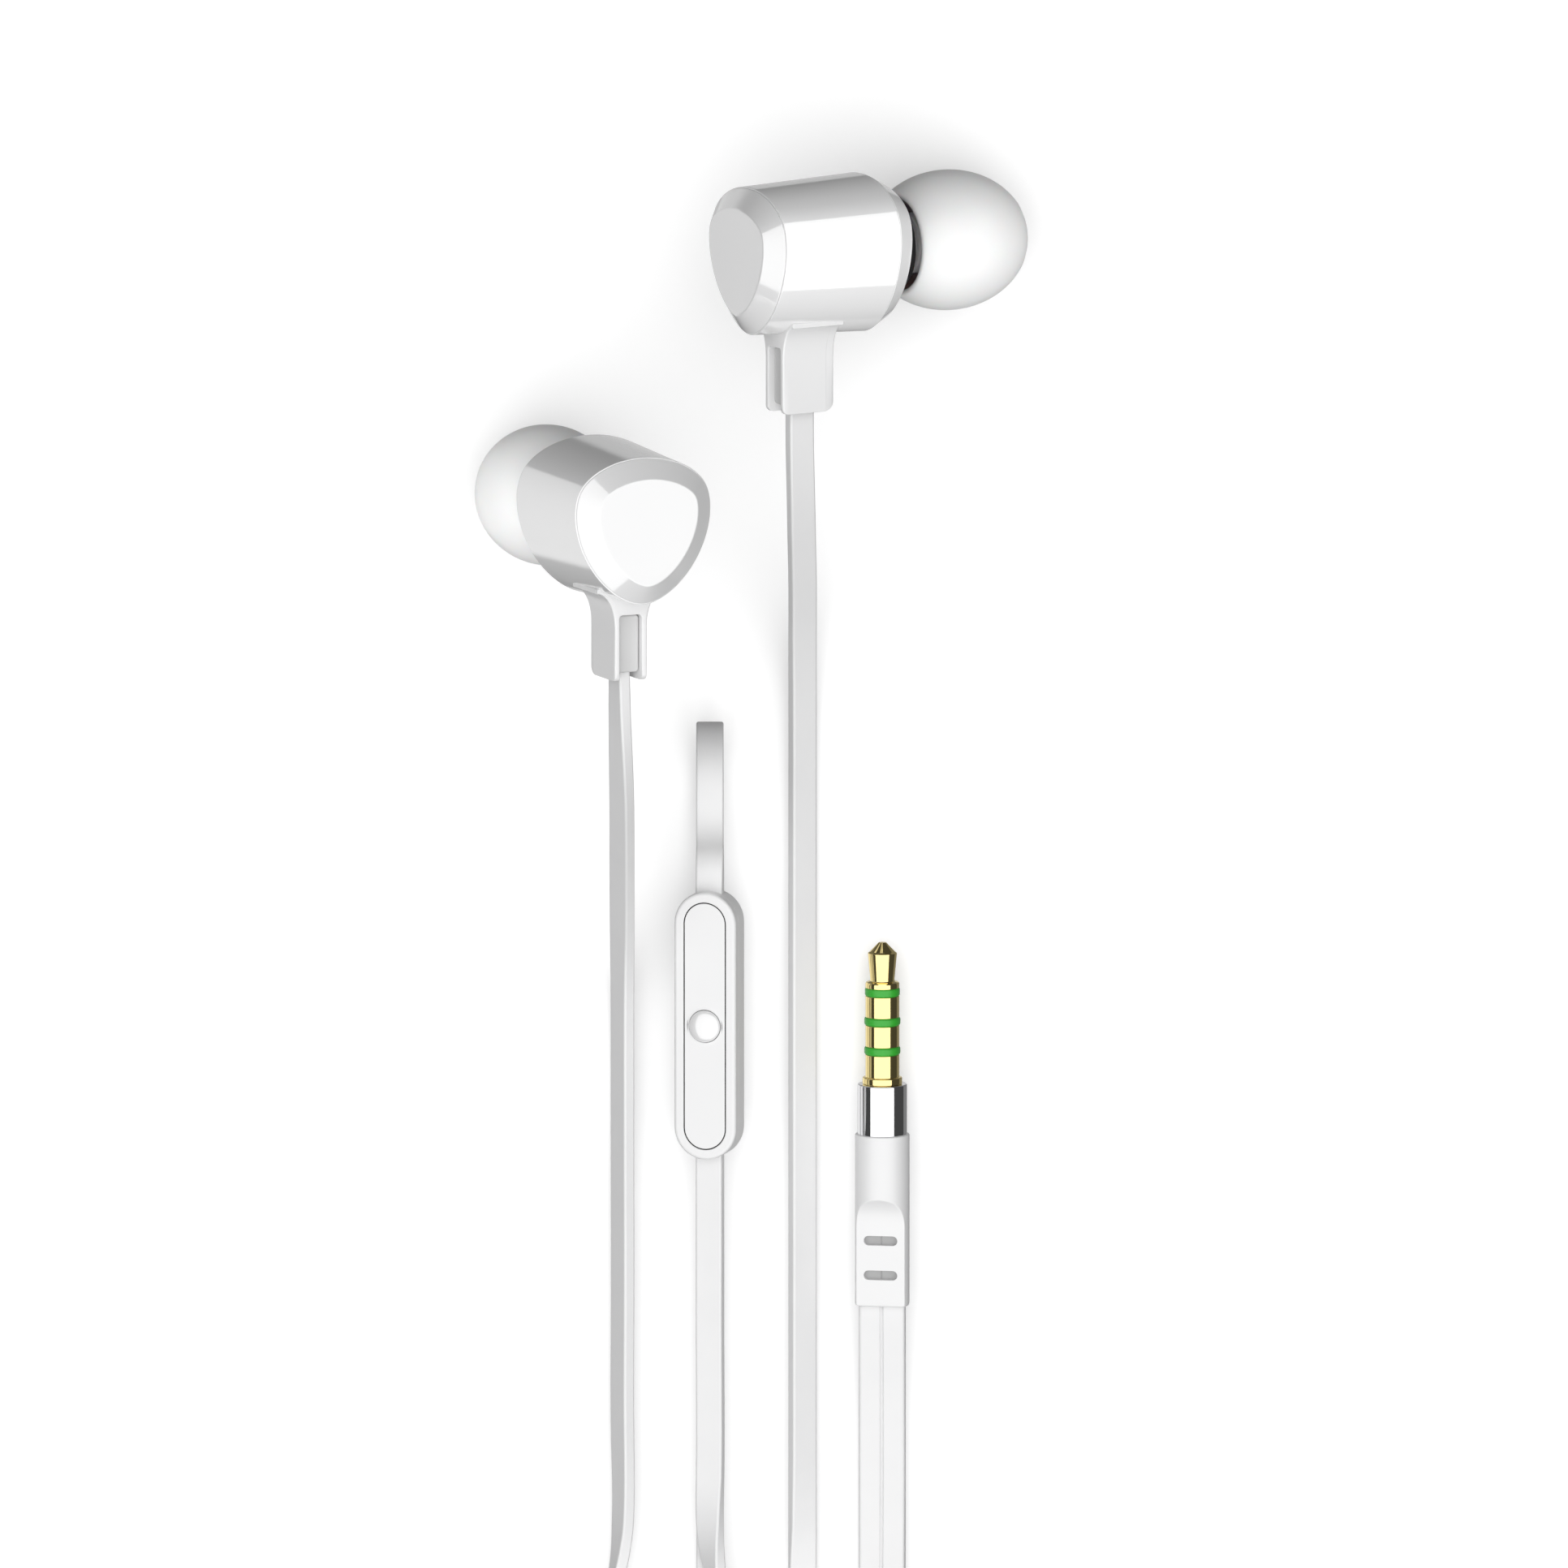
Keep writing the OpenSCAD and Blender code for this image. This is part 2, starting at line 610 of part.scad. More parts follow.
left_bud() ear_tip();  // left_ear_tip
left_bud() front_shell();  // left_front_shell
left_bud() nozzle();  // left_nozzle
left_bud() nozzle_mesh();  // left_nozzle_mesh
left_bud() neck_ring();  // left_neck_ring
left_bud() barrel();  // left_barrel
left_bud() rear_cap();  // left_rear_cap
left_bud() saddle();  // left_saddle
left_bud() cable_clamp();  // left_cable_clamp
left_bud() driver_frame();  // left_driver_frame
left_bud() magnet();  // left_magnet
left_bud() diaphragm();  // left_diaphragm
left_bud() rear_damper();  // left_rear_damper
left_bud() terminal_board();  // left_terminal_board
right_bud() ear_tip();  // right_ear_tip
right_bud() front_shell();  // right_front_shell
right_bud() nozzle();  // right_nozzle
right_bud() nozzle_mesh();  // right_nozzle_mesh
right_bud() neck_ring();  // right_neck_ring
right_bud() barrel();  // right_barrel
right_bud() rear_cap();  // right_rear_cap
right_bud() saddle();  // right_saddle
right_bud() cable_clamp();  // right_cable_clamp
right_bud() driver_frame();  // right_driver_frame
right_bud() magnet();  // right_magnet
right_bud() diaphragm();  // right_diaphragm
right_bud() rear_damper();  // right_rear_damper
right_bud() terminal_board();  // right_terminal_board
remote_front_frame();
remote_back_shell();
remote_panel();
remote_button();
remote_switch();
remote_board();
remote_microphone();
splitter_shell();
splitter_core();
plug_tip();
plug_ring_front();
plug_ring_rear();
plug_sleeve();
plug_insulator_front();
plug_insulator_middle();
plug_insulator_rear();
plug_collar();
plug_boot();
plug_core();
cable(left_upper_route, branch_width);  // left_cable_upper
cable(left_lower_route, branch_width);  // left_cable_lower
cable(right_route, branch_width);  // right_cable
coil(right_coil_in, right_coil_out, branch_width);  // right_coil
cable(right_inner_route, branch_width);  // right_cable_inner
cable(main_inner_route, main_width);  // main_cable_inner
coil(main_coil_in, main_coil_out, main_width);  // main_coil
cable(main_route, main_width);  // main_cable
coil_tie();
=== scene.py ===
import math

import bmesh
import bpy
import numpy as np
from mathutils import Matrix, Vector
from mathutils.geometry import tessellate_polygon


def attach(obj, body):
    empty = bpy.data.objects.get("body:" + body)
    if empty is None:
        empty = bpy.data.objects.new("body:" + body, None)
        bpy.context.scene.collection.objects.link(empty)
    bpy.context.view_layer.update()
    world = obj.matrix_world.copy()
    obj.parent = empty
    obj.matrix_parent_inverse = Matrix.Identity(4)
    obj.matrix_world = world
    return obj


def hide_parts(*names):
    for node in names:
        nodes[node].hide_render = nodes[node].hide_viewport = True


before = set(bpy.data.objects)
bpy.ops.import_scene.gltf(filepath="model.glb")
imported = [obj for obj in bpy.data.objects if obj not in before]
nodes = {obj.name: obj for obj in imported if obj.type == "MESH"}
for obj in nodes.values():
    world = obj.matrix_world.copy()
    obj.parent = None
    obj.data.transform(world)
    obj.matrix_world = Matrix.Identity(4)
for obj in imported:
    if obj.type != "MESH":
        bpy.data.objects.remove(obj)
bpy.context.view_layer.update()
scene = bpy.context.scene
scene.view_settings.view_transform = "Standard"

# Shapes below are in millimetres, in each part's own frame, as in the CAD source.
MM = 0.001


def turned(axis, degrees):
    return Matrix.Rotation(math.radians(degrees), 4, axis)


# Where each part's own frame stands in the shared frame
LEFT = Matrix.Translation((-20.9, -8.8, 8.325)) @ turned("Y", -155.2)
RIGHT = Matrix.Translation((20, 17.5, 7.594)) @ turned("Y", 120.2)
REMOTE = Matrix.Translation((-4.3, -64.4, 3.8)) @ turned("Y", -16.7)
PLUG = Matrix.Translation((13.4, -93.9, 2.8)) @ turned("Y", -8.8) @ turned("X", -90)
SPLITTER = Matrix.Translation((-1.6, -172.5, 0)) @ turned("Z", -8)
COIL = (17, -172.5)

# Earbud, along its axis from the middle of the tip's dome
HOUSING_FRONT_R, HOUSING_REAR_R, HOUSING_LOBE = 8.15, 7.6, 0.5
FRONT_Z, SHOULDER_Z, REAR_EDGE_Z, CAP_Z = -8.2, -10.2, -23.4, -25
TIP_R, TIP_HALF, TIP_WALL, TIP_BORE_R, TIP_CORE_R = 7.2, 8.7, 0.7, 2.25, 3.1
STEM_HALF, STEM_END, STEM_FRONT_Z, STEM_BACK_Z = 1.8, -16.4, -20.5, -14.5
CHANNEL_HALF, CHANNEL_TOP, CHANNEL_CORNER = 1.25, -9.6, 0.4

REMOTE_LENGTH, REMOTE_WIDTH, REMOTE_HALF, REMOTE_SPLIT = 27.8, 6.6, 1.95, 0.75
INLAY_LENGTH, INLAY_WIDTH, INLAY_LOW, INLAY_HIGH = 25.52, 4.32, 1.2, 1.9
BUTTON_R, BUTTON_HOLE_R = 1.65, 1.7

# Plug, along its axis from the cable's end of the grip
CORE_R, CONTACT_R, COLLAR_R, GRIP_R = 0.72, 1.75, 2.55, 2.8
GRIP_TOP, COLLAR_TOP, PLUG_END = 17.9, 23.1, 37.8
WINDOWS = (3.3, 6.9)

BRANCH_WIDTH, MAIN_WIDTH, HALF_DEPTH = 2.8, 4.8, 0.625
SHARP = 34

# ---------------------------------------------------------------- camera

TILT = math.radians(9)
DISTANCE = 5
PICTURE_WIDTH = 0.161
SENSOR = 36
look = Vector((0.0033, -0.0401, 0))
lens = bpy.data.cameras.new("camera")
lens.sensor_width = SENSOR
lens.lens = SENSOR * DISTANCE / PICTURE_WIDTH
lens.clip_start, lens.clip_end = 0.1, 4 * DISTANCE
camera = bpy.data.objects.new("camera", lens)
camera.location = look + DISTANCE * Vector((0, math.sin(TILT), math.cos(TILT)))
camera.rotation_euler = (-TILT, 0, 0)
scene.collection.objects.link(camera)
scene.camera = camera

# ---------------------------------------------------------------- materials


def finish_of(name, colour, shade, rough, grain, bump, depth=0.00001, spread=120, **sockets):
    """Moulded or plated surface: two near colours in soft clouds, uneven gloss and a fine grain."""
    m = bpy.data.materials.new(name)
    m.use_nodes = True
    tree = m.node_tree
    shader = tree.nodes["Principled BSDF"]
    place = tree.nodes.new("ShaderNodeTexCoord")
    clouds = tree.nodes.new("ShaderNodeTexNoise")
    clouds.inputs["Scale"].default_value = spread
    clouds.inputs["Detail"].default_value = 3
    tree.links.new(place.outputs["Object"], clouds.inputs["Vector"])
    mix = tree.nodes.new("ShaderNodeMix")
    mix.data_type = "RGBA"
    mix.inputs["A"].default_value = (*colour, 1)
    mix.inputs["B"].default_value = (*shade, 1)
    tree.links.new(clouds.outputs["Fac"], mix.inputs["Factor"])
    tree.links.new(mix.outputs["Result"], shader.inputs["Base Color"])
    gloss = tree.nodes.new("ShaderNodeMapRange")
    gloss.inputs["To Min"].default_value, gloss.inputs["To Max"].default_value = rough
    tree.links.new(clouds.outputs["Fac"], gloss.inputs["Value"])
    tree.links.new(gloss.outputs["Result"], shader.inputs["Roughness"])
    fine = tree.nodes.new("ShaderNodeTexNoise")
    fine.inputs["Scale"].default_value = grain
    fine.inputs["Detail"].default_value = 4
    tree.links.new(place.outputs["Object"], fine.inputs["Vector"])
    relief = tree.nodes.new("ShaderNodeBump")
    relief.inputs["Strength"].default_value = bump
    relief.inputs["Distance"].default_value = depth
    tree.links.new(fine.outputs["Fac"], relief.inputs["Height"])
    tree.links.new(relief.outputs["Normal"], shader.inputs["Normal"])
    for socket, value in sockets.items():
        shader.inputs[socket.replace("_", " ")].default_value = value
    m.diffuse_color = (*colour, 1)
    return m


def lined(m, direction, scale, depth):
    """Adds fine turned or brushed lines across one axis to a finish."""
    tree = m.node_tree
    relief = tree.nodes["Bump"]
    wave = tree.nodes.new("ShaderNodeTexWave")
    wave.bands_direction = direction
    wave.inputs["Scale"].default_value = scale
    wave.inputs["Distortion"].default_value = 1.5
    second = tree.nodes.new("ShaderNodeBump")
    second.inputs["Strength"].default_value = 0.3
    second.inputs["Distance"].default_value = depth
    place = tree.nodes["Texture Coordinate"]
    tree.links.new(place.outputs["Object"], wave.inputs["Vector"])
    tree.links.new(wave.outputs["Fac"], second.inputs["Height"])
    tree.links.new(relief.outputs["Normal"], second.inputs["Normal"])
    tree.links.new(second.outputs["Normal"], tree.nodes["Principled BSDF"].inputs["Normal"])
    return m


def celled(m, scale, dark, width):
    """Adds a pattern of cells with dark gaps, as in mesh, felt or a board's tracks."""
    tree = m.node_tree
    cells = tree.nodes.new("ShaderNodeTexVoronoi")
    cells.feature = "DISTANCE_TO_EDGE"
    cells.inputs["Scale"].default_value = scale
    place = tree.nodes["Texture Coordinate"]
    tree.links.new(place.outputs["Object"], cells.inputs["Vector"])
    ramp = tree.nodes.new("ShaderNodeValToRGB")
    ramp.color_ramp.elements[0].color = (0, 0, 0, 1)
    ramp.color_ramp.elements[1].position = width
    tree.links.new(cells.outputs["Distance"], ramp.inputs["Fac"])
    paint = tree.nodes.new("ShaderNodeMix")
    paint.data_type = "RGBA"
    base = tree.nodes["Principled BSDF"].inputs["Base Color"]
    tree.links.new(ramp.outputs["Color"], paint.inputs["Factor"])
    paint.inputs["A"].default_value = (*dark, 1)
    tree.links.new(base.links[0].from_socket, paint.inputs["B"])
    tree.links.new(paint.outputs["Result"], base)
    return m


gloss_white = finish_of("gloss_white", (0.84, 0.84, 0.84), (0.81, 0.81, 0.815), (0.07, 0.12),
                        700, 0.06, Coat_Weight=1.0, Coat_Roughness=0.05, Coat_IOR=1.8, IOR=1.8)
stem_white = finish_of("stem_white", (0.84, 0.84, 0.84), (0.81, 0.81, 0.815), (0.22, 0.3),
                       1200, 0.1)
satin_white = finish_of("satin_white", (0.82, 0.82, 0.82), (0.79, 0.79, 0.795), (0.28, 0.4),
                        1800, 0.2)
silicone = finish_of("silicone", (0.83, 0.83, 0.825), (0.79, 0.79, 0.79), (0.34, 0.44), 1500, 0.2,
                     spread=200, Subsurface_Weight=0.12, Subsurface_Scale=0.0012, IOR=1.42)
# Near-black for the nozzle's neck ring and the remote's seam; in both it also stands for painted
# shade in their gaps.
dark_ring = finish_of("dark_ring", (0.01, 0.01, 0.01), (0.016, 0.016, 0.017), (0.5, 0.6),
                      1500, 0.2, IOR=1.3)
steel_mesh = celled(finish_of("steel_mesh", (0.6, 0.6, 0.61), (0.5, 0.5, 0.5), (0.25, 0.35),
                              900, 0.15, Metallic=1), 3200, (0.02, 0.02, 0.02), 0.25)
driver_steel = lined(finish_of("driver_steel", (0.55, 0.55, 0.57), (0.45, 0.45, 0.47), (0.2, 0.32),
                               900, 0.15, Metallic=1), "Z", 1500, 0.00002)
film = finish_of("film", (0.62, 0.5, 0.3), (0.5, 0.4, 0.24), (0.3, 0.4), 600, 0.2)
felt = celled(finish_of("felt", (0.05, 0.05, 0.05), (0.09, 0.09, 0.09), (0.85, 0.95),
                        2500, 0.8, 0.00005), 3000, (0.02, 0.02, 0.02), 0.2)
board = celled(finish_of("board", (0.01, 0.09, 0.03), (0.012, 0.12, 0.04), (0.3, 0.4), 1200, 0.3),
               700, (0.2, 0.13, 0.03), 0.06)
gold = lined(finish_of("gold", (1.0, 0.83, 0.38), (0.98, 0.78, 0.34), (0.05, 0.09), 900, 0.05,
                       Metallic=1), "Y", 2200, 0.000002)
green = finish_of("green", (0.042, 0.42, 0.036), (0.035, 0.37, 0.03), (0.3, 0.42), 1800, 0.25)
chrome = lined(finish_of("chrome", (0.88, 0.88, 0.89), (0.84, 0.84, 0.85), (0.05, 0.09), 700, 0.05,
                         Metallic=1), "Y", 1500, 0.000002)
# Greyer than the shell: painted shade of the channel in which the clamp block sits.
clamp_painted_shade = finish_of("clamp_painted_shade", (0.62, 0.62, 0.62), (0.58, 0.58, 0.58), (0.35, 0.45),
                        1800, 0.2)
# Grey for the sheet behind the plug grip's windows: painted shade of the cable seen down in them.
window_painted_shade = finish_of("window_painted_shade", (0.42, 0.42, 0.42), (0.38, 0.38, 0.38), (0.4, 0.5),
                        1500, 0.2)
jacket = finish_of("jacket", (0.8, 0.8, 0.8), (0.765, 0.765, 0.77), (0.38, 0.5), 2200, 0.3,
                   0.000015, 260)
tie_coat = lined(finish_of("tie_coat", (0.72, 0.72, 0.73), (0.66, 0.66, 0.67), (0.35, 0.45),
                           1800, 0.3), "X", 900, 0.00002)

# ---------------------------------------------------------------- mesh helpers


def rounded(corners, closed=True, steps=5):
    """Line through (x, y, radius) corners, each turned into an arc with a short straight lead."""
    out = []
    n = len(corners)
    for i, (x, y, radius) in enumerate(corners):
        p = np.array((x, y), float)
        if radius == 0 or (not closed and i in (0, n - 1)):
            out.append(p)
            continue
        u = np.array(corners[i - 1][:2], float) - p
        v = np.array(corners[(i + 1) % n][:2], float) - p
        lu, lv = np.linalg.norm(u), np.linalg.norm(v)
        u, v = u / lu, v / lv
        half = math.acos(max(-1, min(1, float(u @ v)))) / 2
        if half > 1.55:
            out.append(p)
            continue
        reach = min(radius / math.tan(half), 0.45 * lu, 0.45 * lv)
        r = reach * math.tan(half)
        centre = p + (u + v) / np.linalg.norm(u + v) * (r / math.sin(half))
        a, b = p + u * reach - centre, p + v * reach - centre
        swing = math.pi - 2 * half
        lead = 0.12 * reach
        out.append(centre + a + u * lead)
        for k in range(steps + 1):
            s = k / steps
            share_a, share_b = math.sin((1 - s) * swing), math.sin(s * swing)
            out.append(centre + (share_a * a + share_b * b) / math.sin(swing))
        out.append(centre + b + v * lead)
    return [tuple(q) for q in out]


def circle(r, n=96):
    a = np.arange(n) * 2 * math.pi / n
    return np.stack([r * np.cos(a), r * np.sin(a)], 1)


def pick(r, n=144):
    """Rounded triangle of the housing; close to the middle it only shrinks."""
    size = max(r, 5)
    a = np.arange(n) * 2 * math.pi / n
    h = size + HOUSING_LOBE * np.cos(3 * a + 1.5 * math.pi)
    dh = -3 * HOUSING_LOBE * np.sin(3 * a + 1.5 * math.pi)
    outline = np.stack([h * np.cos(a) - dh * np.sin(a), h * np.sin(a) + dh * np.cos(a)], 1)
    return outline * (r / size)


def stadium(length, width, inset=0, n=24):
    r = width / 2 - inset
    run = (length - width) / 2
    a = np.linspace(0, math.pi, n)
    top = np.stack([r * np.cos(a), run + r * np.sin(a)], 1)
    side = np.linspace(run, -run, 12)[1:-1]
    left = np.stack([np.full(10, -r), side], 1)
    low = np.stack([-r * np.cos(a), -run - r * np.sin(a)], 1)
    right = np.stack([np.full(10, r), -side], 1)
    return np.concatenate([top, left, low, right])


def block(width, height, radius, inset):
    a, b = width / 2 - inset, height / 2 - inset
    c = max(radius - inset, 0.05)
    return np.array(rounded([(a, -b, c), (a, b, c), (-a, b, c), (-a, -b, c)]))


def at(outline, z):
    return np.column_stack([outline, np.full(len(outline), float(z))])


def loft(rings, wrap=False):
    n, m = len(rings[0]), len(rings)
    faces = []
    for i in range(m if wrap else m - 1):
        a, b = i * n, (i + 1) % m * n
        faces += [(a + j, a + (j + 1) % n, b + (j + 1) % n, b + j) for j in range(n)]
    if not wrap:
        faces += [tuple(range(n))[::-1], tuple(range((m - 1) * n, m * n))]
    return np.concatenate(rings), faces


def swept(outline, profile, wrap=True):
    """Loft whose rings are outline(value) at each (value, z) of the profile."""
    return loft([at(outline(v), z) for v, z in profile], wrap)


def mesh_of(name, verts, faces, place):
    """Mesh with its faces turned outwards, moved from a part's own frame to the shared one."""
    if place is not None:
        m = np.array(place)
        verts = verts @ m[:3, :3].T + m[:3, 3]
    mesh = bpy.data.meshes.new(name)
    mesh.from_pydata((verts * MM).tolist(), [], faces)
    work = bmesh.new()
    work.from_mesh(mesh)
    bmesh.ops.recalc_face_normals(work, faces=work.faces)
    work.to_mesh(mesh)
    work.free()
    return mesh


def piece(name, parts, finish, place=None, body="root", stands_for=(), crease=SHARP):
    """One named object from (vertices, faces) parts, on its body and in place of its CAD nodes."""
    verts, faces, count = [], [], 0
    for v, f in parts:
        verts.append(v)
        faces += [tuple(i + count for i in one) for one in f]
        count += len(v)
    mesh = mesh_of(name, np.concatenate(verts), faces, place)
    mesh.shade_smooth()
    mesh.set_sharp_from_angle(angle=math.radians(crease))
    mesh.materials.append(finish)
    obj = bpy.data.objects.new(name, mesh)
    scene.collection.objects.link(obj)
    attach(obj, body)
    if stands_for:
        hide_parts(*stands_for)
    return obj


def carve(obj, cutters):
    """Cuts closed meshes out of a piece."""
    for verts, faces, place in cutters:
        tool = bpy.data.objects.new("cutter", mesh_of("cutter", verts, faces, place))
        scene.collection.objects.link(tool)
        step = obj.modifiers.new("carve", "BOOLEAN")
        step.operation, step.object, step.solver = "DIFFERENCE", tool, "EXACT"
        graph = bpy.context.evaluated_depsgraph_get()
        cut = bpy.data.meshes.new_from_object(obj.evaluated_get(graph))
        obj.modifiers.clear()
        obj.data = cut
        bpy.data.objects.remove(tool)
    obj.data.shade_smooth()
    obj.data.set_sharp_from_angle(angle=math.radians(SHARP))


# ---------------------------------------------------------------- cords


def smooth_line(p, step=0.8):
    """Cubic spline through points: where it runs, sampled about every step, and its knots."""
    gaps = np.linalg.norm(np.diff(p, axis=0), axis=1)
    t = np.concatenate([[0], np.cumsum(gaps)])
    n = len(p)
    a = np.zeros((n, n))
    b = np.zeros((n, 3))
    a[0, 0] = a[-1, -1] = 1
    for i in range(1, n - 1):
        a[i, i - 1], a[i, i], a[i, i + 1] = gaps[i - 1], 2 * (gaps[i - 1] + gaps[i]), gaps[i]
        b[i] = 6 * ((p[i + 1] - p[i]) / gaps[i] - (p[i] - p[i - 1]) / gaps[i - 1])
    c = np.linalg.solve(a, b)
    s = np.linspace(0, t[-1], int(t[-1] / step) + 1)
    k = np.clip(np.searchsorted(t, s, "right") - 1, 0, n - 2)
    h, u, w = gaps[k][:, None], (t[k + 1] - s)[:, None], (s - t[k])[:, None]
    line = (c[k] * u ** 3 + c[k + 1] * w ** 3) / (6 * h) \
        + (p[k] / h - c[k] * h / 6) * u + (p[k + 1] / h - c[k + 1] * h / 6) * w
    return line, s, t


def flat_cord(name, rows, width, groove, stands_for):
    """Flat cable along rows of x, y, z in millimetres and, in degrees, the compass direction
    and the rise of its wide side."""
    rows = np.array(rows, float)
    line, s, knots = smooth_line(rows[:, :3])
    azimuth = np.radians(np.interp(s, knots, rows[:, 3]))
    rise = np.radians(np.interp(s, knots, rows[:, 4]))
    wide = np.stack([np.cos(rise) * np.cos(azimuth), np.cos(rise) * np.sin(azimuth),
                     np.sin(rise)], 1)
    along = np.gradient(line, axis=0)
    along /= np.linalg.norm(along, axis=1)[:, None]
    wide -= (wide * along).sum(1)[:, None] * along
    wide /= np.linalg.norm(wide, axis=1)[:, None]
    thin = np.cross(along, wide)
    a, b = width / 2, HALF_DEPTH
    if groove:
        corners = [(a, -b, 0.35), (a, b, 0.35), (0.22, b, 0.06), (0, b - 0.32, 0.04),
                   (-0.22, b, 0.06), (-a, b, 0.35), (-a, -b, 0.35), (-0.22, -b, 0.06),
                   (0, 0.32 - b, 0.04), (0.22, -b, 0.06)]
    else:
        corners = [(a, -b, 0.22), (a, b, 0.22), (-a, b, 0.22), (-a, -b, 0.22)]
    section = np.array(rounded(corners, steps=3))
    rings = [p + section[:, :1] * w + section[:, 1:] * h for p, w, h in zip(line, wide, thin)]
    obj = piece(name, [loft(rings)], jacket, stands_for=stands_for, crease=50)


def spiral(start, end, radius, pitch, z, rise):
    """Rows on a flat spiral from one angle to another; z and rise are functions of the angle."""
    rows = []
    for angle in np.linspace(start, end, int((end - start) / 15) + 1):
        r = radius + pitch * (angle - start) / 360
        a = math.radians(angle)
        rows.append([COIL[0] + r * math.cos(a), COIL[1] + r * math.sin(a), z(angle), angle - 180,
                     rise(angle)])
    return rows


left_route = [
    [-13.56, -24.2, 24.2, 0, 65],
    [-13.55, -24.5, 24.2, 0, 65], [-13.5, -27.9, 24, 0, 62], [-13.4, -32.9, 22.6, 0, 58],
    [-13.3, -38.9, 18.7, 0, 57], [-13.3, -45.9, 12.8, 0, 57], [-13.3, -52.9, 6.9, 0, 57],
    [-13.3, -58.9, 3.1, 0, 57], [-13.3, -65, 1.6, 0, 57], [-13.3, -80, 1.6, 0, 57],
    [-13.3, -95, 1.6, 0, 57], [-13.3, -108, 1.6, 0, 57], [-13.3, -117, 1.6, 0, 62],
    [-13.7, -121, 1.5, 0, 74], [-14.5, -125, 1.5, 0, 86], [-14.9, -128.9, 1.5, 0, 90],
    [-14.1, -132, 1.7, 0, 90], [-11.8, -134.2, 2, 0, 90], [-8.8, -135, 2.3, 0, 90],
    [-5.8, -134.2, 2.7, 0, 90], [-3.5, -132, 2.9, 0, 90], [-2.7, -128.9, 3, 0, 90],
    [-3.1, -125, 2.9, 0, 80], [-3.9, -121, 2.8, 0, 58], [-4.3, -117, 2.6, 0, 34],
    [-4.3, -112, 2.4, 0, 18], [-4.3, -98, 2.35, 0, 17], [-4.3, -90, 2.5, 0, 17],
    [-4.3, -86, 2.9, 0, 17], [-4.3, -82, 3.5, 0, 17], [-4.3, -78.5, 3.8, 0, 16.7],
    [-4.3, -76.4, 3.8, 0, 16.7], [-4.2, -71.4, 3.15, 0, 16.7], [-4.2, -64.4, 3.05, 0, 16.7],
    [-4.2, -57.4, 3.15, 0, 16.7], [-4.3, -52.4, 3.8, 0, 16.7], [-4.3, -50.3, 3.8, 0, 14],
    [-4.3, -47.8, 4.35, 0, 9],
    [-4.3, -45.85, 5.85, 0, 4], [-4.3, -44.7, 8, 0, 0], [-4.3, -43.2, 10.55, 0, 0],
    [-4.3, -40.6, 12.05, 0, 0], [-4.3, -37.6, 12.05, 0, 0], [-4.3, -35, 10.55, 0, 0],
    [-4.3, -33.5, 7.95, 0, 0], [-4.3, -33.5, 4.95, 0, 0], [-4.3, -35, 2.35, 0, 0],
    [-4.3, -37, 1.05, 0, 0], [-4.3, -39.2, 0.65, 0, 0], [-4.3, -43, 0.65, 0, 0],
    [-4.3, -60, 0.65, 0, 0], [-4.3, -80, 0.65, 0, 0], [-4.3, -100, 0.65, 0, 0],
    [-4.3, -120, 0.65, 0, 0], [-4.3, -128, 0.65, 0, 0], [-4.3, -133.3, 0.7, 0, 0],
    [-4.2, -136.7, 1.6, 0, 0], [-4, -139.9, 3.6, 0, 0], [-3.7, -143.1, 5.4, 0, 0],
    [-3.3, -146.5, 6.05, 0, 0], [-2.1, -153.3, 6.05, 0, 0], [-1.1, -158.2, 6.05, 0, 0],
    [-0.7, -160.3, 6, 0, 0], [-0.6, -162.1, 5.75, 0, 35], [-0.65, -164.2, 5.3, 0, 70],
    [-0.8, -166.4, 5.05, 0, 90], [-1.05, -168.7, 5.05, 0, 90],
]
right_route = [
    [4.9, 2.1, 16.42, 0, -30],
    [4.9, 1.75, 16.4, 0, -30], [4.9, -1.4, 16.1, 0, -30], [5, -6.9, 14.5, 0, -30],
    [5.1, -12.5, 11.5, 0, -30], [5.2, -18, 8, 0, -30], [5.2, -23.5, 4.7, 0, -30],
    [5.2, -29.5, 2.2, 0, -30], [5.2, -36, 1.3, 0, -30], [5.2, -60, 1.3, 0, -30],
    [5.2, -85, 1.3, 0, -30], [5.2, -110, 1.3, 0, -30], [5.2, -117, 1.2, 0, -25],
    [5.2, -123, 0.8, 0, -5], [5.2, -128, 1.1, 0, 0], [5.2, -132.5, 2.7, 0, 0],
    [5.2, -137, 4.9, 0, 0], [5.1, -141.3, 6, 0, 0], [5, -146.5, 6.05, 0, 0],
    [4.8, -154, 6.05, 0, 0], [4.6, -158.5, 5.3, 0, 0], [4.4, -163, 4.4, 0, 0],
    [4.4, -167.3, 4, 0, 0],
]
right_route += spiral(180, 815, 12.6, 1.6,
                      lambda a: 3.95 - 2.1 * min(1, (a - 180) / 75),
                      lambda a: min(90, (a - 180) * 1.2))
right_route += [
    [10.2, -157.8, 1.9, 655, 90], [4.6, -160.1, 1.95, 675, 90],
    [0.9, -163.2, 1.95, 695, 90], [-0.7, -166.1, 1.95, 710, 90], [-1.05, -168.7, 1.95, 710, 90],
]
main_route = [
    [-2.15, -176.3, 3.5, 0, 90], [-2.5, -178.9, 3.5, 0, 90], [-2.5, -181.9, 3.4, 0, 90],
    [-1.8, -184.8, 3.2, 0, 90], [-0.4, -187.4, 3, 0, 90],
]
main_route += spiral(228, 1870, 23.2, 1.9, lambda a: 2.85, lambda a: 90)
